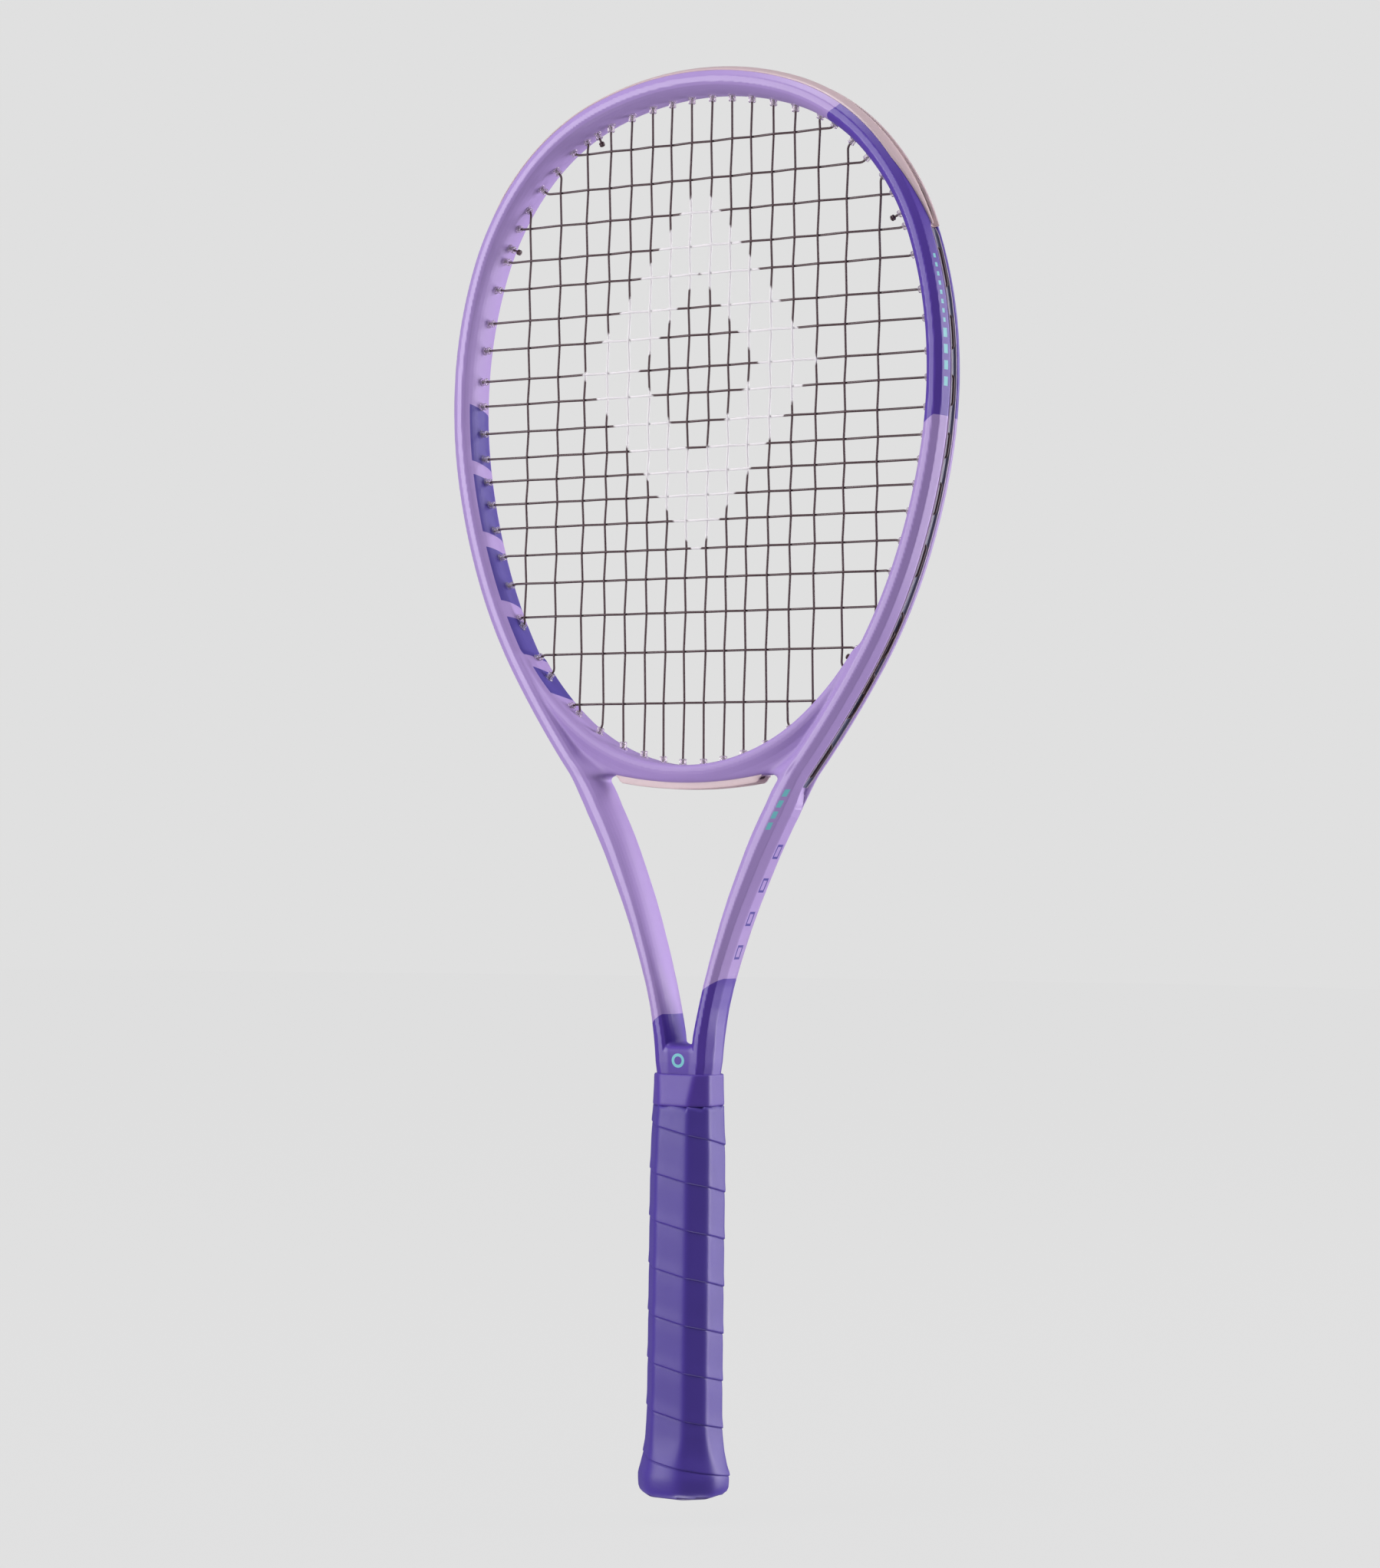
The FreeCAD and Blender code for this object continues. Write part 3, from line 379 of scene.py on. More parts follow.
def field2d(x, z):
    """Everything that depends on x and z alone."""
    q = {}
    S, U, ZC, TH, D = nearest(x, z)
    w = np.interp(ZC, [a for a, _ in SHAFT_W], [b for _, b in SHAFT_W])
    w = np.where(S < 417.0, 12.0, w)
    t = 23.0 + np.clip((ZC - 325.0) / 26.0, 0, 1)
    # the outer side keeps its line while the groove lasts
    k = np.clip((ZC - 316.0) / 16.0, 0, 1) * np.maximum(0.0, w / 2 - 6.0) * (S > 417.0)
    U = U + k
    # the legs' line below the bridge, read off the outline at every 11 mm
    shift = np.interp(ZC, LEG_Z, LEG_DX) * (S > 417.0)
    U = U - shift
    w = w + 1.2 * smooth01((344.0 - ZC) / 12.0) * (S > 417.0)
    nz = np.array([a[0] for a in NECK] + [218.5, 226.0])
    nk = 1.0 - smooth01((z - 214.0) / 12.0)                        # 1 in the neck
    tn = np.interp(z, nz, [a[3] for a in NECK] + [23.0, 23.0])
    xo = np.interp(z, nz, [a[2] + 0.7 for a in NECK] + [16.7, 17.8])
    h_t, h_n = w / 2, 6.6
    # offsets from the outer and the inner side, at a common scale
    kk = w / 12.0 * (1 - nk) + 1.12 * nk
    q["uo"] = (U - w / 2) * (1 - nk) + (x - xo) * nk
    q["ui"] = U + w / 2
    q["k"], q["t"] = kk, t * (1 - nk) + tn * nk
    q["ki"] = w / 12.0
    q["S"], q["U"], q["ZC"] = S, U, ZC
    zo = ZC + np.cos(TH) * 6
    q["g"] = np.where(S < 417.0, GROOVE_D, GROOVE_D * smooth01((zo - GROOVE_END_Z + 1.5) / 9.0))
    q["g"] = np.where(z < 300, 0.0, q["g"])
    return q


def leg(q, y, opened=False):
    """Field of one leg; y >= 0. The outer and the inner half keep their own scale."""
    f = q["t"] / 24.0
    uo = q["uo"] / q["k"] + 6.0
    if opened:
        return (chain_distance(uo, y / f, OPEN_IN) - ROUND) * np.minimum(q["k"], f)
    ui = q["ui"] / q["ki"] - 6.0
    # one coordinate that is the outer one outside and the inner one inside
    wgt = smooth01((uo + ui) * 0.125 + 0.5)
    u = ui * (1 - wgt) + uo * wgt
    return (chain_distance(u, y / f, SECTION_IN) - ROUND) * np.minimum(q["ki"], f)


def bed_v(x, z):
    """Distance outside the opening of the hoop, near its lower part."""
    ax = np.abs(x)
    cz = BED_LOW_Z + BED_R_LOW
    v1 = np.hypot(ax, z - cz) - BED_R_LOW
    a = math.radians(39.84)
    c2x = BED_R_LOW * math.sin(a) - BED_R_SIDE * math.sin(a)
    c2z = cz - BED_R_LOW * math.cos(a) + BED_R_SIDE * math.cos(a)
    v2 = np.hypot(ax - c2x, z - c2z) - BED_R_SIDE
    ang = np.arctan2(ax, cz - z)
    return np.where(ang < a, v1, v2)


def bridge2d(x, z):
    v = bed_v(x, z)
    low = np.hypot(x, z - BC_Z) - BRIDGE_LOW_R
    return v, low


def bridge(x, y, z, v, low, q):
    """The band that closes the hoop, with thinner webs between it and the shafts."""
    # front of the band: a ridge near the opening, falling to the web
    hb = np.interp(v, [-2.0, 0.0, 0.8, 1.8, 3.4, 5.0, 7.6, 10.0, 13.0, 40.0], [8.6, 9.7, 10.15, 10.4, 10.4, 9.9, 8.0, 6.9, 6.3, 6.0])
    F = (y - hb) * 0.9
    F = smax(F, -v, 1.8)
    F = smax(F, low, 2.6)
    F = smax(F, z - 404.0, 4.0)
    # nothing outside the tube
    F = np.maximum(F, q["U"] - 1.0)
    return F


def field(x, y, z):
    """Whole frame; x, y and z broadcast, negative inside."""
    ax, ay = np.abs(x), np.abs(y)
    q = field2d(ax, z)
    F = leg(q, ay)
    v, low = bridge2d(ax, z)
    B = bridge(ax, ay, z, v, low, q)
    # a wide round in the two corners of the throat, tight everywhere else
    kk = 1.8 + 6.0 * np.exp(-((low - 1.0) / 5.0) ** 2) * smooth01((-q["uo"] - 3.5) / 5.0)
    F = np.where((z > 320.0) & (z < 412.0), smin(F, B, kk), F)
    # outer groove: a slot for the strip with sloping sides above it
    wide = 1.85 * np.clip(q["g"] / GROOVE_D, 0, 1) * smooth01((q["S"] - 152.0) / 5.0)
    G = (ay - (3.1 + wide * np.clip((q["uo"] + 1.3) / 1.3, 0, 1.6))) * 0.62
    G = np.maximum(G, -q["g"] - q["uo"])
    F = np.where(q["g"] > 0.02, smax(F, -G, 0.4), F)
    # the legs join below the V
    blk = smax(leg(q, ay, True), z - V_FLOOR_Z, 3.4)
    Fo = leg(field2d(-ax, z), ay)
    J = smin(smin(F, Fo, 1.6), blk, 0.02 + 2.8 * smooth01((-q["uo"] - 8.0) / 3.5))
    F = np.where(z < 262.0, J, F)
    # the shank inside the handle
    hx, hy = 12.0 - 0.15, 9.5 - 0.15
    shank = smax(smax(ax - hx, ay - hy, 1.0), z - 192.0, 1.0)
    F = np.where(z < 187.0, shank, F)
    F = np.maximum(F, 14.2 - z)
    return F


def surface_net(c, xs, ys, zs, Fv):
    """Naive surface nets on a dense grid, returns vertices and quads."""
    sgn = Fv < 0
    nx, ny, nz = Fv.shape
    cell = np.zeros((nx - 1, ny - 1, nz - 1), np.int8)
    corners = [(i, j, k) for i in (0, 1) for j in (0, 1) for k in (0, 1)]
    for i, j, k in corners:
        cell += sgn[i:nx - 1 + i, j:ny - 1 + j, k:nz - 1 + k]
    act = (cell > 0) & (cell < 8)
    idx = -np.ones(act.shape, np.int64)
    ijk = np.argwhere(act)
    idx[act] = np.arange(len(ijk))
    acc = np.zeros((len(ijk), 3))
    cnt = np.zeros(len(ijk))
    val = {co: Fv[ijk[:, 0] + co[0], ijk[:, 1] + co[1], ijk[:, 2] + co[2]] for co in corners}
    for a in corners:
        for d in range(3):
            if a[d]:
                continue
            b = list(a); b[d] = 1; b = tuple(b)
            va, vb = val[a], val[b]
            m = (va < 0) != (vb < 0)
            t = np.where(m, va / np.where(m, va - vb, 1.0), 0.0)
            p = np.array(a, float)[None, :].repeat(len(ijk), 0)
            p[:, d] = t
            acc[m] += p[m]
            cnt[m] += 1
    loc = acc / cnt[:, None]
    V = np.stack([xs[ijk[:, 0]] + loc[:, 0] * c, ys[ijk[:, 1]] + loc[:, 1] * c, zs[ijk[:, 2]] + loc[:, 2] * c], 1)
    quads = []
    for d in range(3):
        e1, e2 = [(1, 2), (2, 0), (0, 1)][d]
        sl_a = [slice(None)] * 3
        sl_b = [slice(None)] * 3
        sl_a[d] = slice(0, -1)
        sl_b[d] = slice(1, None)
        A, B = sgn[tuple(sl_a)], sgn[tuple(sl_b)]
        e = np.argwhere(A != B)
        flip = A[e[:, 0], e[:, 1], e[:, 2]]
        ok = (e[:, e1] > 0) & (e[:, e2] > 0) & (e[:, e1] < Fv.shape[e1] - 1) & (e[:, e2] < Fv.shape[e2] - 1)
        e, flip = e[ok], flip[ok]
        o = np.zeros((4, 3), int)
        o[0, e1], o[0, e2] = -1, -1
        o[1, e2] = -1
        o[3, e1] = -1
        f = np.stack([idx[e[:, 0] + o[k, 0], e[:, 1] + o[k, 1], e[:, 2] + o[k, 2]] for k in range(4)], 1)
        f[~flip] = f[~flip][:, ::-1]
        quads.append(f)
    return V, np.concatenate(quads)


def gradient(fn, P, h=0.12):
    g = np.zeros_like(P)
    for d in range(3):
        e = np.zeros(3); e[d] = h
        g[:, d] = (fn(*(P + e).T) - fn(*(P - e).T)) / (2 * h)
    return g


def build_implicit(fn, lo, hi, c, tries=4):
    """Mesh of fn = 0, symmetric in x: the half at x >= 0 is worked out and mirrored."""
    n = int(math.ceil(hi[0] / c))
    xs = (np.arange(-n, n + 1)) * c
    m = int(math.ceil(hi[1] / c))
    ys = (np.arange(-m, m + 1)) * c
    zs = np.arange(lo[2], hi[2] + c, c)
    half = xs[n:]
    X, Z = np.meshgrid(half, zs, indexing="ij")
    yh = ys[m:]
    Fh = np.empty((len(half), len(yh), len(zs)), np.float32)
    for j, y in enumerate(yh):
        Fh[:, j, :] = fn(X, np.full(X.shape, y), Z)
    Fq = np.concatenate([Fh[::-1][:-1], Fh], 0)
    Fq = np.concatenate([Fq[:, ::-1][:, :-1], Fq], 1)
    Fq = np.where(np.abs(Fq) < 1e-6, 1e-6, Fq)
    V, Q = surface_net(c, xs, ys, zs, Fq)
    P = V.copy()
    for _ in range(tries):
        val = fn(*P.T)
        g = gradient(fn, P)
        n2 = np.maximum((g * g).sum(1), 0.15)
        step = (val / n2)[:, None] * g
        ln = np.linalg.norm(step, axis=1)
        step *= np.minimum(1.0, 0.4 / np.maximum(ln, 1e-9))[:, None]
        P = P - step
    g = gradient(fn, P, 0.2)
    N = g / np.maximum(np.linalg.norm(g, axis=1), 1e-9)[:, None]
    return P, Q, N


# ---------------------------------------------------------------- materials
LAV = lin((171, 147, 206))
DEEP = lin((84, 56, 164))
INK = lin((66, 50, 150))
MINT = lin((120, 205, 210))


def paint_zones(g):
    """0..1 map of the deep purple paint on the frame, with the values that the small marks are drawn from."""
    s, u, y, x, z = g.attr("path_s"), g.attr("path_u"), g.y, g.x, g.z
    ay = y.abs()
    on_right = x.above(0.0, 0.01)
    # right side of the hoop, from an oblique cut near the top to another beside the middle
    cut_a = s - (u - 1.5).min(0.0) * 0.5
    cut_b = s - (u + 5.5).ramp(0.0, 7.0, 5.0, 0.0)
    zone1 = on_right * cut_a.above(81.6, 0.12) * (s + (u + 6.0).ramp(0.0, 7.5, 0.0, 6.5)).below(250.0, 0.12)
    # neck
    edge_r = (x - 11.0).ramp(0.0, 10.5, 239.8, 246.4)
    edge_l = (-1.0 * x).ramp(9.5, 16.2, 228.8, 223.6)
    zr = z.below(0.0, 0.01)
    neck_r = on_right * (z - edge_r).below(0.0, 0.1)
    neck_l = (1.0 - on_right) * (z - edge_l).below(0.0, 0.1)
    return zone1.max(neck_r).max(neck_l), s, u, ay, on_right


def frame_material():
    g = Graph("frame_lacquer")
    zone, s, u, ay, on_right = paint_zones(g)
    blot = g.noise(0.045, 2.0)
    base = g.tint(LAV, blot, 0.95, 1.05)
    deep = g.tint(DEEP, blot, 0.93, 1.07)
    col = g.mix(zone, base, deep)
    # plain blocks on the inner side of the left half of the hoop
    left = 1.0 - on_right
    inner_side = u.below(-3.0, 0.15)
    blocks = None
    for a, b in ((226.0, 255.0), (262.0, 292.0), (300.0, 329.0), (338.0, 360.0), (368.0, 385.0)):
        sk = s - g.y * 0.25
        m = sk.between(a, b, 0.12)
        blocks = m if blocks is None else blocks.max(m)
    blocks = blocks * left * inner_side * g.y.between(-8.6, 8.8, 0.12)
    col = g.mix(blocks, col, INK)
    # four short bars down the outer side of the right shaft
    bars = None
    for zz in (259.0, 275.0, 291.0, 307.0):
        m = (g.z - zz).abs().below(3.4, 0.1)
        bars = m if bars is None else bars.max(m)
    bars = bars * on_right * u.above(3.4, 0.1) * (g.y + 0.4).abs().below(2.6, 0.1)
    hollow = None
    for zz in (259.0, 275.0, 291.0, 307.0):
        m = (g.z - zz).abs().below(2.3, 0.1)
        hollow = m if hollow is None else hollow.max(m)
    hollow = hollow * (g.y + 0.4).abs().below(1.6, 0.1)
    col = g.mix(bars * (1.0 - hollow), col, INK)
    # plain mint dashes on the side of the deep zone and on the front edge of the right shaft
    dash = None
    for k in range(4):
        m = (s - (228.0 - 7.4 * k)).abs().below(2.1, 0.1) * (g.y + 7.4).abs().below(1.15, 0.1)
        dash = m if dash is None else dash.max(m)
    for k in range(8):
        m = (s - (200.0 - 4.3 * k)).abs().below(1.0, 0.08) * (g.y + 7.3).abs().below(0.7, 0.08)
        dash = dash.max(m)
    for k in range(4):
        m = (g.z - (319.0 + 5.2 * k)).abs().below(1.7, 0.1) * u.between(1.9, 3.7, 0.1) * g.y.below(-9.6, 0.1)
        dash = dash.max(m)
    col = g.mix(dash * on_right * u.above(1.2, 0.1), col, MINT)
    # a plain mint ring on the neck
    dot = ((g.x + 0.0) * (g.x + 0.0) + (g.z - 207.0) * (g.z - 207.0)).sqrt()
    ring = dot.between(2.0, 3.4, 0.1) * g.y.below(0.0, 0.1) * g.z.below(213.0, 0.1)
    col = g.mix(ring, col, MINT)
    g.set("Base Color", col)
    fine = g.noise(1.6, 3.0)
    mid = g.noise(0.22, 3.0)
    rub = u.below(-3.2, 0.8)
    g.set("Roughness", (fine * 0.10 + mid * 0.10 + 0.31) + rub * 0.24)
    g.set("Specular IOR Level", 0.55)
    g.set("Coat Weight", 0.15)
    g.set("Coat Roughness", 0.25)
    g.bump(fine * 0.5 + mid, 0.010, 0.8)
    return g.m


def string_material():
    g = Graph("string_polyester")
    ring = (g.x.abs() / 66.0 + (g.z - 540.0).abs() / 92.0)
    edge = g.noise(0.6, 2.0) * 0.03
    sten = (ring + edge).between(0.52, 1.0, 0.012)
    g.set("Base Color", g.mix(sten, g.tint(lin((76, 56, 58)), g.noise(0.3), 0.8, 1.2), lin((238, 238, 236))))
    n = g.noise(2.5, 2.0)
    g.set("Roughness", n * 0.12 + 0.28 + sten * 0.25)
    g.bump(n, 0.01, 0.6)
    return g.m


def guard_material():
    g = Graph("guard_nylon")
    n = g.noise(0.5, 3.0)
    f = g.noise(3.0, 2.0)
    g.set("Base Color", g.tint(lin((234, 212, 210)), n, 0.95, 1.05))
    g.set("Roughness", f * 0.12 + 0.26)
    g.set("Transmission Weight", 0.28)
    g.set("IOR", 1.5)
    g.bump(f * 0.4 + n, 0.02, 0.6)
    return g.m


def ferrule_material():
    g = Graph("ferrule_nylon")
    f = g.noise(3.0, 2.0)
    g.set("Base Color", g.tint(lin((246, 238, 242)), f, 0.97, 1.03))
    g.set("Roughness", f * 0.10 + 0.16)
    g.set("Transmission Weight", 0.80)
    g.set("IOR", 1.45)
    g.bump(f, 0.02, 0.5)
    return g.m


def grip_material(name, col, grain=1.0):
    g = Graph(name)
    blot = g.noise(0.05, 3.0)
    f = g.noise(2.2, 3.0, 0.6)
    v = g.voronoi(1.1)
    c = g.tint(col, blot, 0.90, 1.10)
    g.set("Base Color", c)
    g.set("Roughness", f * 0.14 + v * 0.06 + 0.34)
    g.set("Sheen Weight", 0.05)
    g.set("Specular IOR Level", 0.5)
    g.bump(f * 0.5 * grain + g.noise(0.25, 2.0) * 1.5, 0.03, 0.8)
    return g.m


def plain_material(name, col, rough, metal=0.0, per_mm=2.0, bump=0.02):
    g = Graph(name)
    n = g.noise(per_mm, 3.0)
    m = g.noise(0.2, 2.0)
    g.set("Base Color", g.tint(col, m, 0.92, 1.08))
    g.set("Roughness", n * 0.12 + rough - 0.06)
    g.set("Metallic", metal)
    g.bump(n, bump, 0.7)
    return g.m


M_FRAME = frame_material()
M_STRING = string_material()
M_GUARD = guard_material()
M_FERR = ferrule_material()
M_GRIP = grip_material("grip_polyurethane", lin((72, 53, 152)))
M_COLLAR = grip_material("collar_rubber", lin((82, 56, 160)), 0.4)
M_CAP = plain_material("cap_nylon", lin((66, 48, 120)), 0.5, 0.0, 1.5, 0.03)
M_PALLET = plain_material("pallet_foam", lin((120, 120, 122)), 0.75)
M_CORE = plain_material("core_foam", lin((232, 224, 196)), 0.85, 0.0, 1.2, 0.05)
M_STEEL = plain_material("weight_steel", lin((190, 190, 192)), 0.35, 1.0)
M_TAPE = plain_material("tape_weave", lin((40, 34, 46)), 0.7, 0.0, 1.0, 0.05)

# ---------------------------------------------------------------- frame body
CELL = 0.8
P, Q, N = build_implicit(field, (0, 0, 10.0), (139.0, 13.5, 688.0), CELL)
body = mesh_object("frame_body", P * MM, Q, M_FRAME, True, N)
S, U, ZC, TH, D = nearest(np.abs(P[:, 0]), P[:, 2])
for nm, arr in (("path_s", S), ("path_u", U)):
    a = body.data.attributes.new(nm, "FLOAT", "POINT")
    a.data.foreach_set("value", arr.astype(np.float32))
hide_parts("frame_tube", "throat_bridge")
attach(body, "racket")

# ---------------------------------------------------------------- handle
GRIP_STN = [(0.6, 18.5, 18.1), (1.0, 19.7, 19.3), (2.0, 20.8, 20.3), (4.0, 21.7, 21.0), (9.0, 22.0, 21.3), (15.0, 20.5, 20.0),
            (22.0, 18.3, 18.0), (29.0, 17.05, 16.8), (38.0, 16.6, 16.4), (60.0, 16.5, 16.3), (120.0, 16.5, 16.3), (150.0, 16.5, 16.3),
            (166.0, 16.3, 16.1), (178.0, 15.9, 15.65), (185.6, 15.65, 15.3)]


def smooth_table(tab, z):
    """Cubic interpolation without overshoot (monotone slopes)."""
    xs = np.array([t[0] for t in tab], float)
    out = []
    for col in range(1, len(tab[0])):
        ys = np.array([t[col] for t in tab], float)
        d = np.diff(ys) / np.diff(xs)
        m = np.zeros(len(xs))
        m[0], m[-1] = d[0], d[-1]
        for i in range(1, len(xs) - 1):
            if d[i - 1] * d[i] > 0:
                w1, w2 = 2 * (xs[i + 1] - xs[i]) + (xs[i] - xs[i - 1]), (xs[i + 1] - xs[i]) + 2 * (xs[i] - xs[i - 1])
                m[i] = (w1 + w2) / (w1 / d[i - 1] + w2 / d[i])
        i = np.clip(np.searchsorted(xs, z) - 1, 0, len(xs) - 2)
        h = xs[i + 1] - xs[i]
        t = np.clip((z - xs[i]) / h, 0, 1)
        out.append((2 * t ** 3 - 3 * t ** 2 + 1) * ys[i] + (t ** 3 - 2 * t ** 2 + t) * h * m[i]
                   + (-2 * t ** 3 + 3 * t ** 2) * ys[i + 1] + (t ** 3 - t ** 2) * h * m[i + 1])
    return out


def octa_radius(phi, a, b, c, r):
    """Radius of an octagon with half widths a, b, corner c and edges rounded by about r, at angle phi."""
    cx, cy = np.abs(np.cos(phi)), np.abs(np.sin(phi))
    # smooth union of the limits of the half-planes, from the inside: p-norm of the reciprocals
    d1, d2, d3 = a / np.maximum(cx, 1e-6), b / np.maximum(cy, 1e-6), (a + b - c) / np.maximum(cx + cy, 1e-6)
    p = r
    return (d1 ** -p + d2 ** -p + d3 ** -p) ** (-1.0 / p)


def phi_samples(n_flat, n_corner):
    """Angles with more samples near the octagon's eight edges."""
    edges = []
    for k in range(8):
        edges.append(math.radians(22.5 + 45 * k))
    out = []
    for k in range(8):
        a, b = edges[k], edges[(k + 1) % 8] + (2 * math.pi if k == 7 else 0)
        t = np.linspace(0, 1, n_flat + n_corner, endpoint=False)
        t = t - 0.55 * np.sin(2 * math.pi * t) / (2 * math.pi)
        out += list(a + (b - a) * (t))
    return np.array(out)


PITCH = 22.5


def grip_mesh():
    phis = phi_samples(10, 8)
    n = len(phis)
    ph = [0.0, 0.010, 0.022, 0.040, 0.065, 0.10, 0.15, 0.21, 0.28, 0.36, 0.44, 0.52, 0.60, 0.68, 0.76, 0.83, 0.89, 0.935, 0.965, 0.985, 0.994]
    m = len(ph)
    turns = int(185.0 / PITCH) + 3
    Z0 = 16.2                                    # height of a seam at phi = 270 degrees (front centre)
    rows = []
    for t in range(-2, turns):
        rows += [t + q for q in ph]
    rows = np.array(rows)
    T, A = np.meshgrid(rows, phis, indexing="ij")
    frac = T - np.floor(T)
    z = Z0 + PITCH * (T - 1.0) - PITCH * ((A - math.radians(270.0)) / (2 * math.pi))
    zc = np.clip(z, 0.6, 185.6)
    a, b = smooth_table(GRIP_STN, zc)
    flare = smooth01((zc - 12.0) / 20.0)
    c = 0.485 * np.minimum(a, b) * (1.0 + 0.28 * (1 - flare))
    r = octa_radius(A, a, b, c, 26.0 - 14.0 * (1 - flare))
    # each turn laps over the one before: a low edge at the seam, then a soft swell
    seam = np.exp(-((np.minimum(frac, 1 - frac)) / 0.012) ** 2)
    lap = 0.30 * (1 - smooth01(frac / 0.30)) - 0.16 * smooth01((frac - 0.75) / 0.25)
    fade = smooth01((zc - 1.0) / 3.0) * smooth01((184.6 - zc) / 1.5)
    r = r + (lap - 0.42 * seam) * fade - 0.05
    r = np.where(z < 0.6, np.minimum(r, 17.4), r)
    r = np.where(z > 185.6, np.minimum(r, 14.9), r)
    V = np.stack([r * np.cos(A), r * np.sin(A), zc], -1).reshape(-1, 3)
    keep = (z >= 0.6 - 1.6) & (z <= 185.6 + 1.6)
    F = []
    R = len(rows)
    for i in range(R - 1):
        for j in range(n):
            if j < n - 1:
                q = (i * n + j, i * n + j + 1, (i + 1) * n + j + 1, (i + 1) * n + j)
            else:
                i2 = i - m
                if i2 < 0 or i2 + 1 >= R:
                    continue
                # the last column meets the first one a whole turn lower
                i3 = i + m
                continue
            zz = [z.reshape(-1)[k] for k in q]
            if max(zz) <= 0.6 or min(zz) >= 185.6:
                continue
            F.append(q)
        # close the sheet across the start angle
        j = n - 1
        i2 = i - m
        if 0 <= i2 and i2 + 1 < R:
            q = (i * n + j, i2 * n, (i2 + 1) * n, (i + 1) * n + j)
            zz = [z.reshape(-1)[k] for k in q]
            if not (max(zz) <= 0.6 or min(zz) >= 185.6):
                F.append(q)
    return V, F, z


def closed_clean(ob, merge=0.00001):
    import bmesh
    bm = bmesh.new()
    bm.from_mesh(ob.data)
    bmesh.ops.remove_doubles(bm, verts=bm.verts, dist=merge)
    bmesh.ops.dissolve_degenerate(bm, edges=bm.edges, dist=merge * 0.5)
    loose = [v for v in bm.verts if not v.link_faces]
    bmesh.ops.delete(bm, geom=loose, context="VERTS")
    bmesh.ops.recalc_face_normals(bm, faces=bm.faces)
    bm.to_mesh(ob.data)
    bm.free()
    ob.data.shade_smooth()


V, F, _z = grip_mesh()
grip = mesh_object("grip_wrapping", V * MM, F, M_GRIP)
closed_clean(grip)
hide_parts("grip_wrap")
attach(grip, "racket")

COLLAR = [(185.3, 15.0, 14.7, 7.6), (185.5, 15.5, 15.15, 7.6), (186.2, 15.75, 15.35, 7.6), (188.5, 15.7, 15.05, 7.4), (192.0, 15.55, 14.3, 6.7),
          (196.0, 15.45, 13.5, 6.0), (199.2, 15.4, 12.9, 5.4), (200.2, 15.25, 12.6, 5.2), (200.55, 14.9, 12.2, 5.0), (200.6, 14.2, 11.4, 4.9)]


def collar_mesh():
    phis = phi_samples(10, 8)
    zs = np.array([185.3, 185.4, 185.5, 185.8, 186.3, 187.2, 188.5, 190, 191.5, 193, 194.5, 196, 197.5, 198.6, 199.2, 199.7, 200.1, 200.35, 200.5, 200.58, 200.6])
    Zg, A = np.meshgrid(zs, phis, indexing="ij")
    a, b, c = smooth_table(COLLAR, Zg)
    r = octa_radius(A, a, b, c, 26.0)
    V = np.stack([r * np.cos(A), r * np.sin(A), Zg], -1).reshape(-1, 3)
    n, R = len(phis), len(zs)
    F = [(i * n + j, i * n + (j + 1) % n, (i + 1) * n + (j + 1) % n, (i + 1) * n + j) for i in range(R - 1) for j in range(n)]
    return V, F


V, F = collar_mesh()
collar = mesh_object("collar_sleeve", V * MM, F, M_COLLAR)
closed_clean(collar)
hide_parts("rubber_collar")
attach(collar, "racket")

# ---------------------------------------------------------------- guards and grommets
class Builder:
    """Collects rings into one mesh with several materials."""

    def __init__(self):
        self.v, self.f, self.mi = [], [], []

    def rings(self, rings, mat=0, closed=True, cap0=False, cap1=False):
        """rings: arrays of points (n, 3); neighbours are joined by quads."""
        base = len(self.v)
        n = len(rings[0])
        for r in rings:
            self.v += [tuple(p) for p in r]
        m = n if closed else n - 1
        for i in range(len(rings) - 1):
            for j in range(m):
                a, b = base + i * n + j, base + i * n + (j + 1) % n
                self.f.append((a, b, b + n, a + n))
                self.mi.append(mat)
        if cap0:
            self.f.append(tuple(base + j for j in reversed(range(n))))
            self.mi.append(mat)
        if cap1:
            e = base + (len(rings) - 1) * n
            self.f.append(tuple(e + j for j in range(n)))
            self.mi.append(mat)

    def object(self, name, mats, sharp=35.0):
        me = bpy.data.meshes.new(name)
        me.from_pydata([tuple(c * MM for c in p) for p in self.v], [], self.f)
        me.update()
        for m in mats:
            me.materials.append(m)
        me.polygons.foreach_set("material_index", self.mi)
        ob = bpy.data.objects.new(name, me)
        scene.collection.objects.link(ob)
        import bmesh
        bm = bmesh.new()
        bm.from_mesh(me)
        bmesh.ops.remove_doubles(bm, verts=bm.verts, dist=2e-6)
        bmesh.ops.recalc_face_normals(bm, faces=bm.faces)
        bm.to_mesh(me)
        bm.free()
        me.shade_smooth()
        me.set_sharp_from_angle(angle=math.radians(sharp))
        return ob


def place_section(sec, s, sx):
    x, z, th = at(s)
    st, ct = math.sin(th), math.cos(th)
    return np.array([(sx * (x + st * u), y, z + ct * u) for u, y in sec])


def round_loop(pts, r, n=3):
    """Closed polygon with its corners rounded by r (less on short edges)."""
    out = []
    m = len(pts)
    for i in range(m):
        p0, p, p1 = (np.array(pts[(i + k) % m], float) for k in (-1, 0, 1))
        a, b = p0 - p, p1 - p
        la, lb = np.linalg.norm(a), np.linalg.norm(b)
        t = min(r, 0.45 * la, 0.45 * lb)
        q0, q1 = p + a / la * t, p + b / lb * t
        for k in range(n + 1):
            w = k / n
            out.append((1 - w) ** 2 * q0 + 2 * w * (1 - w) * p + w * w * q1)
    return out


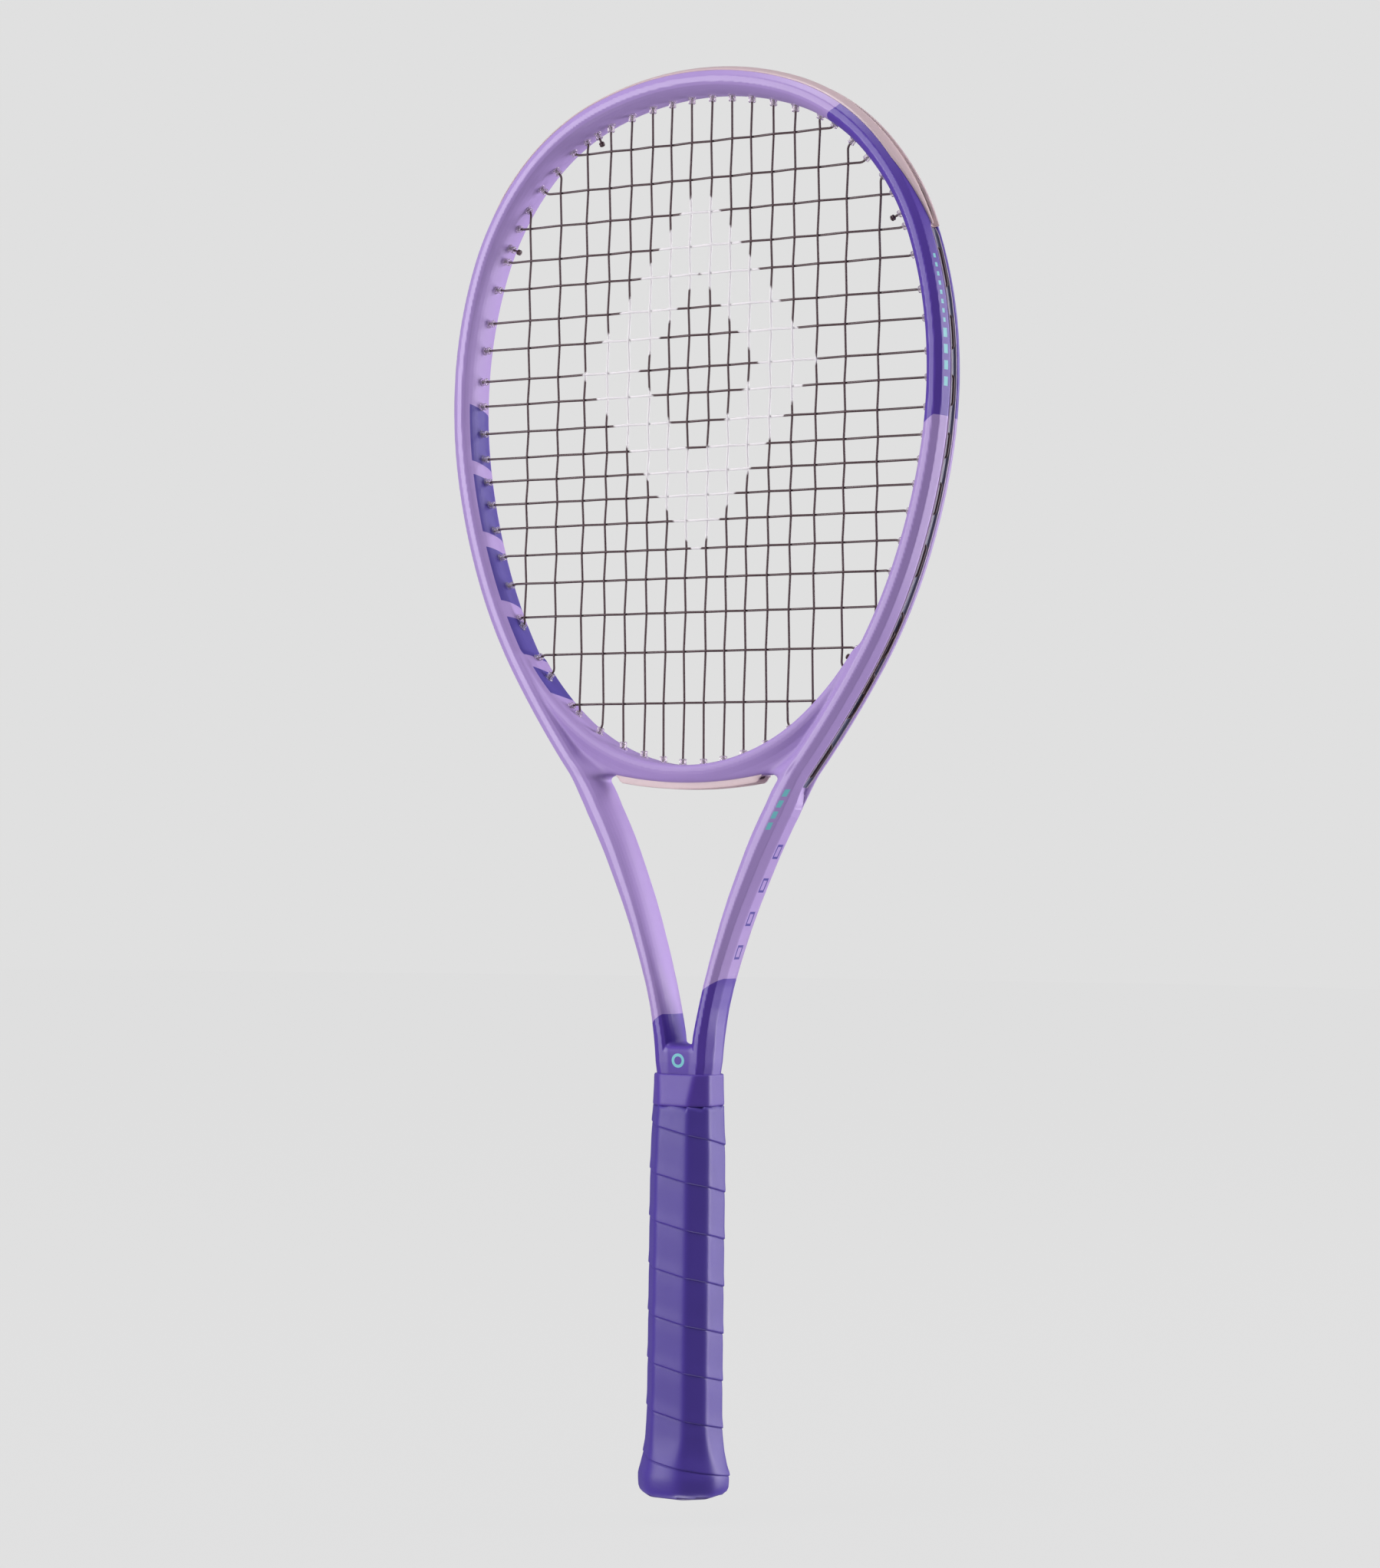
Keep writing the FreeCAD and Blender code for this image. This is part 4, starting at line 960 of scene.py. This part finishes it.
OUT_Y = [0.0, 4.0, 4.9, 9.9, 12.0]
OUT_U = [6.0, 6.0, 5.75, 3.9, 1.1]


def outer_u(y):
    return float(np.interp(y, OUT_Y, OUT_U))


def outer_n(y):
    """Outward direction (u, y) of the hoop's outer side at depth y."""
    y0, y1 = y - 0.6, y + 0.6
    du, dy = outer_u(y1) - outer_u(y0), 1.2
    n = math.hypot(du, dy)
    return dy / n, -du / n


def bumper_section(reach):
    """Closed outline: a channel for the string loops and two wings that reach round the hoop's bevels."""
    half_out, half_in = [], []
    k = 14
    y0 = 2.95
    for j in range(k + 1):
        y = y0 + (reach - y0) * j / k
        nu, ny = outer_n(max(y, 3.2))
        e = j / k
        t = 0.95 - 0.25 * smooth01((e - 0.35) / 0.6)
        if j >= k - 1:
            t *= 0.72 if j == k - 1 else 0.30
        half_out.append((outer_u(y) + nu * t, y + ny * t))
        half_in.append((outer_u(y) - nu * 0.35, y - ny * 0.35))
    right_side = [(4.55, 0.0), (4.55, 1.7), (4.75, 2.2), (6.55, 2.42), (6.82, 2.62)] + half_out + half_in[::-1] + [(3.9, 2.75), (3.76, 2.4), (3.76, 0.0)]
    left_side = [(u, -y) for u, y in right_side[1:-1]][::-1]
    return right_side + left_side


def strip_section(lip):
    """Side strip: a floor in the groove and two lips that stand just over its edges."""
    t = 4.7 + lip
    r = [(4.45, 0.0), (4.45, 1.9), (4.6, 2.25), (t - 0.3, 2.38), (t, 2.55), (t + 0.05, 2.8), (t - 0.1, 3.02), (t - 0.4, 3.12), (4.5, 3.2), (3.72, 3.0), (3.72, 0.0)]
    l = [(u, -y) for u, y in r[1:-1]][::-1]
    return r + l


HOLES = [
    # kind, mouth x, z, outer end x, z
    ("T", 5.65, 667.25, 5.65, 683.31), ("B", 5.65, 353.09, 5.65, 338.82), ("T", 16.49, 666.39, 16.49, 682.54),
    ("B", 16.49, 354.43, 16.49, 339.36), ("T", 27.34, 664.68, 27.34, 681.01), ("B", 27.34, 357.13, 27.34, 340.43),
    ("T", 38.99, 661.84, 38.99, 678.49), ("B", 38.99, 361.68, 38.99, 342.18), ("T", 50.88, 657.8, 50.88, 674.92),
    ("S", 50.88, 368.48, 63.08, 341.02), ("Ts", 63.77, 654.41, 68.66, 667.11), ("S", 63.77, 375.32, 74.33, 356.78),
    ("T", 78.93, 640.14, 89.77, 651.96), ("S", 78.93, 395.51, 90.23, 380.74), ("Ts", 96.27, 623.93, 107.33, 631.61),
    ("S", 96.27, 419.0, 106.48, 409.35), ("Ts", 70.94, 649.9, 78.65, 660.9), ("T", 86.79, 632.0, 98.96, 642.44),
    ("Ts", 101.52, 615.7, 114.56, 619.97), ("T", 106.61, 599.4, 122.38, 603.1), ("S", 111.21, 585.8, 127.12, 588.52),
    ("S", 115.13, 569.7, 131.48, 569.7), ("S", 117.36, 556.2, 133.53, 556.2), ("S", 118.74, 540.7, 134.81, 540.7),
    ("S", 119.03, 528.3, 135.08, 528.3), ("S", 118.53, 514.5, 134.61, 514.5), ("S", 117.29, 501.7, 133.47, 501.7),
    ("S", 115.56, 490.2, 131.84, 490.2), ("S", 113.3, 478.7, 129.71, 478.7), ("S", 110.41, 466.5, 126.35, 464.04),
    ("S", 106.51, 452.9, 122.41, 449.98), ("S", 101.71, 438.8, 117.54, 435.35), ("S", 97.68, 422.1, 110.85, 418.74),
    ("S", 84.41, 403.2, 100.18, 397.4), ("S", 67.1, 378.4, 83.24, 369.83)]
TIES = [("T", 104.2, 604.92, 118.76, 611.68, 1), ("T", 104.2, 604.92, 118.76, 611.68, -1),
        ("T", 56.53, 655.32, 63.5, 669.77, -1), ("S", 83.78, 398.08, 96.28, 390.64, 1)]


def hoop_depth(px, pz, ax, az):
    """Distance from a point inside the hoop to the hoop's inner side, along (ax, az)."""
    t = np.linspace(0.0, 9.0, 181)
    X, Z = np.abs(px + ax * t), pz + az * t
    q = field2d(X, Z)
    F = leg(q, np.zeros(X.shape))
    v, low = bridge2d(X, Z)
    F = np.minimum(F, np.where(Z < 412, bridge(X, np.zeros(X.shape), Z, v, low, q), 9.0))
    hit = np.nonzero(F < 0)[0]
    return float(t[hit[0]]) if len(hit) else 4.7


def ferrule(bld, mx_, mz, ox, oz, sx, mat):
    """A clear barrel that stands inside the hoop, with a rounded lip, an open bore and a small foot."""
    ax, az = ox - mx_, oz - mz
    n = math.hypot(ax, az)
    ax, az = ax / n, az / n
    d = hoop_depth(mx_, mz, ax, az)
    t0 = 1.7 if d > 3.4 else max(0.0, d - 1.9)
    prof = [(0.80, t0 + 3.0), (0.78, t0 + 0.55), (0.95, t0 + 0.12), (1.25, t0), (1.62, t0 + 0.10), (1.82, t0 + 0.42),
            (1.72, t0 + 0.9), (1.70, d - 0.7), (1.85, d - 0.30), (2.25, d + 0.02), (2.3, d + 0.35), (1.7, d + 1.6), (0.80, d + 1.6)]
    prof = [p for i, p in enumerate(prof) if not (i == 7 and d - 0.7 < t0 + 0.95)]
    k = 20
    rings = []
    for r, t in prof:
        ring = []
        for j in range(k):
            a = 2 * math.pi * j / k
            ring.append((sx * (mx_ + ax * t - az * r * math.cos(a)), r * math.sin(a), mz + az * t + ax * r * math.cos(a)))
        rings.append(ring)
    bld.rings(rings, mat)


S_BUMP, S_STRIP0, S_STRIP1 = 154.4, 154.9, 430.6


def bumper():
    bld = Builder()
    ss = list(np.arange(-S_BUMP, S_BUMP + 0.01, S_BUMP / 110.0))
    rings = []
    for s in ss:
        a = abs(s)
        # the wings run out in a straight taper to the channel
        w = 1.0 - np.clip((a - 119.0) / (S_BUMP - 1.0 - 119.0), 0, 1)
        reach = 3.75 + (9.7 - 3.75) * w ** 0.9
        rings.append(place_section(bumper_section(reach), a, 1 if s >= 0 else -1))
    bld.rings(rings, 0, True, True, True)
    for k, a, b, c, d in HOLES:
        if k[0] == "T":
            for sx in (1, -1):
                ferrule(bld, a, b, c, d, sx, 1)
    for k, a, b, c, d, sx in TIES:
        if k == "T":
            ferrule(bld, a, b, c, d, sx, 1)
    return bld.object("bumper_band", [M_GUARD, M_FERR])


def side_strip(sx, name):
    bld = Builder()
    n = 150
    rings = []
    for i in range(n + 1):
        s = S_STRIP0 + (S_STRIP1 - S_STRIP0) * i / n
        e = min((s - S_STRIP0) / 3.0, (S_STRIP1 - s) / 5.0, 1.0)
        sec = strip_section(0.25 + 0.65 * e)
        rings.append(place_section(sec, s, sx))
    bld.rings(rings, 0, True, True, True)
    for k, a, b, c, d in HOLES:
        if k == "S":
            ferrule(bld, a, b, c, d, sx, 1)
    for k, a, b, c, d, side in TIES:
        if k == "S" and side == sx:
            ferrule(bld, a, b, c, d, sx, 1)
    return bld.object(name, [M_STRIP, M_FERR])


def throat_strip():
    bld = Builder()
    R0 = BRIDGE_LOW_R
    n = 64
    half = math.asin(39.9 / (R0 + 0.3))
    rings = []
    for i in range(n + 1):
        w = i / n * 2 - 1
        a = half * w
        e = smooth01((1 - abs(w)) / 0.09)
        lip = 0.35 + 2.65 * e
        sec = [(-0.9, -5.0), (lip * 0.6, -5.05), (lip, -4.85), (lip + 0.15, -4.45), (lip, -4.05), (0.75, -3.8), (0.45, -3.3), (0.35, 0.0),
               (0.45, 3.3), (0.75, 3.8), (lip, 4.05), (lip + 0.15, 4.45), (lip, 4.85), (lip * 0.6, 5.05), (-0.9, 5.0)]
        rings.append([((R0 + u) * math.sin(a), y, BC_Z - (R0 + u) * math.cos(a)) for u, y in sec])
    bld.rings(rings, 0, True, True, True)
    for k, a, b, c, d in HOLES:
        if k == "B":
            for sx in (1, -1):
                ferrule(bld, a, b, c, d, sx, 1)
    return bld.object("throat_strip_clear", [M_GUARD, M_FERR])


def strip_material():
    g = Graph("strip_nylon")
    f = g.noise(3.0, 2.0)
    n = g.noise(0.4, 2.0)
    # the channel between the lips is painted darker grey-blue: painted shade in the groove, together with the dark
    # string loops seen through the clear nylon
    channel_shade = g.y.abs().below(2.42, 0.08)
    g.set("Base Color", g.mix(channel_shade, g.tint(lin((226, 212, 224)), n, 0.94, 1.06), g.tint(lin((112, 116, 142)), n, 0.9, 1.1)))
    g.set("Roughness", f * 0.12 + 0.24)
    g.set("Transmission Weight", 0.30)
    g.set("IOR", 1.5)
    g.bump(f * 0.4 + n, 0.02, 0.6)
    return g.m


M_STRIP = strip_material()
for ob, nodes, sl in ((bumper(), ["bumper_guard"], "clear_guard"), (side_strip(1, "side_strip_right"), ["grommet_strip_right"], "clear_guard"),
                      (side_strip(-1, "side_strip_left"), ["grommet_strip_left"], "clear_guard"),
                      (throat_strip(), ["throat_grommet_strip"], "clear_guard")):
    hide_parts(*nodes)
    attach(ob, "racket")

# ---------------------------------------------------------------- butt cap and its door


def octa_ring(z, a, b, c, p=40.0, n=96):
    out = []
    for j in range(n):
        ph = 2 * math.pi * j / n
        r = float(octa_radius(np.array(ph), a, b, c, p))
        out.append((r * math.cos(ph), r * math.sin(ph), z))
    return out


def cap_object():
    bld = Builder()
    tab = [(9.9, 12.6, 12.4), (9.9, 18.2, 18.0), (6.0, 18.3, 18.1), (3.0, 18.0, 17.8), (1.3, 17.75, 17.55), (0.75, 17.5, 17.3), (0.35, 17.1, 16.9),
           (0.1, 16.5, 16.3), (0.0, 15.8, 15.6), (0.0, 14.5, 14.1), (0.08, 14.3, 13.9), (0.38, 14.1, 13.7), (0.38, 13.5, 13.1), (0.08, 13.3, 12.9), (0.0, 13.1, 12.7),
           (0.0, 10.3, 9.1), (0.1, 9.95, 8.75), (0.4, 9.65, 8.45), (3.0, 9.6, 8.4), (3.0, 12.6, 12.4), (9.9, 12.6, 12.4)]
    bld.rings([octa_ring(z, a, b, 0.50 * min(a, b)) for z, a, b in tab], 0)
    return bld.object("cap_shell", [M_CAP], 50)


def door_object():
    bld = Builder()
    tab = [(7.0, 7.4, 6.2), (7.0, 8.6, 7.4), (2.2, 8.6, 7.4), (2.2, 9.45, 8.25), (0.75, 9.45, 8.25), (0.45, 9.3, 8.1), (0.35, 9.0, 7.8),
           (0.35, 6.6, 5.4), (0.45, 6.4, 5.2), (0.75, 6.1, 4.9), (0.9, 5.7, 4.5), (0.9, 0.5, 0.4)]
    bld.rings([octa_ring(z, a, b, 0.485 * min(a, b)) for z, a, b in tab], 0, True, False, True)
    tab2 = [(7.0, 7.4, 6.2), (2.4, 7.4, 6.2), (2.2, 7.2, 6.0), (2.2, 0.5, 0.4)]
    bld.rings([octa_ring(z, a, b, 0.485 * min(a, b)) for z, a, b in tab2], 0, True, False, True)
    return bld.object("cap_door", [M_CAP], 40)


cap = cap_object()
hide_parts("butt_cap")
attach(cap, "racket")
door = door_object()
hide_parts("butt_cap_door")
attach(door, "door")

# ---------------------------------------------------------------- carried-over CAD pieces
for nm, mt in (("main_string", M_STRING), ("cross_string", M_STRING),
               ("pallet_front", M_PALLET), ("pallet_back", M_PALLET), ("shank_foam_left", M_CORE), ("shank_foam_right", M_CORE),
               ("balance_weight", M_STEEL), ("butt_cap_staples", M_STEEL),
               ("grip_tack", M_STEEL), ("finishing_tape", M_TAPE)):
    put(nm, mt)

# ---------------------------------------------------------------- stage and light
world = bpy.data.worlds.new("studio")
scene.world = world
world.use_nodes = True
bg = world.node_tree.nodes["Background"]
bg.inputs[0].default_value = (0.255, 0.240, 0.272, 1.0)
bg.inputs[1].default_value = 1.0


def glow(name, base, strength, one_sided=False):
    m = bpy.data.materials.new(name)
    m.use_nodes = True
    t = m.node_tree
    b = t.nodes["Principled BSDF"]
    b.inputs["Base Color"].default_value = (base, base, base, 1)
    b.inputs["Roughness"].default_value = 0.95
    b.inputs["Specular IOR Level"].default_value = 0.0
    b.inputs["Emission Color"].default_value = lin((224, 224, 224))
    b.inputs["Emission Strength"].default_value = strength
    if one_sided:
        # seen from below the floor is clear, so the butt end can be looked at
        gn = t.nodes.new("ShaderNodeNewGeometry")
        inv = t.nodes.new("ShaderNodeMath")
        inv.operation = "SUBTRACT"
        inv.inputs[0].default_value = 1.0
        t.links.new(gn.outputs["Backfacing"], inv.inputs[1])
        t.links.new(inv.outputs[0], b.inputs["Alpha"])
    return m


FLOOR_Z = -0.0125                                # just under the door at the end of its travel
floor = mesh_object("stage_floor", [(-9, -9, FLOOR_Z), (9, -9, FLOOR_Z), (9, 9, FLOOR_Z), (-9, 9, FLOOR_Z)], [(0, 1, 2, 3)], glow("stage_pale", 0.02, 0.982, True), False)
ring = []
for zz in (-4.0, 9.0):
    ring.append([(9.5 * math.cos(2 * math.pi * j / 48), 9.5 * math.sin(2 * math.pi * j / 48), zz) for j in range(48)])
bv = [p for r in ring for p in r]
bf = [(j, (j + 1) % 48, 48 + (j + 1) % 48, 48 + j) for j in range(48)] + [tuple(range(48, 96)), tuple(reversed(range(48)))]
drop = mesh_object("stage_backdrop", bv, bf, glow("backdrop_pale", 0.0, 1.0), False)
for o in (floor, drop):
    o.visible_diffuse = False
    o.visible_glossy = False
    o.visible_shadow = False


def area(name, loc, target, size, power, col=(1, 1, 1), size_y=None):
    d = bpy.data.lights.new(name, "AREA")
    d.shape = "RECTANGLE" if size_y else "SQUARE"
    d.size = size
    if size_y:
        d.size_y = size_y
    d.energy = power
    d.color = col
    o = bpy.data.objects.new(name, d)
    scene.collection.objects.link(o)
    o.location = loc
    v = Vector(target) - Vector(loc)
    o.rotation_euler = v.to_track_quat("-Z", "Y").to_euler()
    return o


area("key_front_left", (-1.22, -1.78, 0.75), (0, 0, 0.38), 0.9, 38.5, (1.0, 0.96, 1.0), 1.9)
area("rim_right", (1.66, 1.25, 0.55), (0, 0, 0.38), 1.0, 43.0, (1.0, 0.945, 1.0), 1.9)
area("rim_back_right", (0.98, 1.88, 0.55), (0, 0, 0.38), 0.7, 9.0, (1.0, 0.945, 1.0), 1.9)
area("top", (0.15, -0.3, 2.3), (0, 0, 0.5), 0.9, 15.0, (1.0, 0.97, 1.0))
area("bounce", (0.0, 0.0, -2.0), (0, 0, 0.5), 0.9, 25.0, (1.0, 0.97, 1.0))
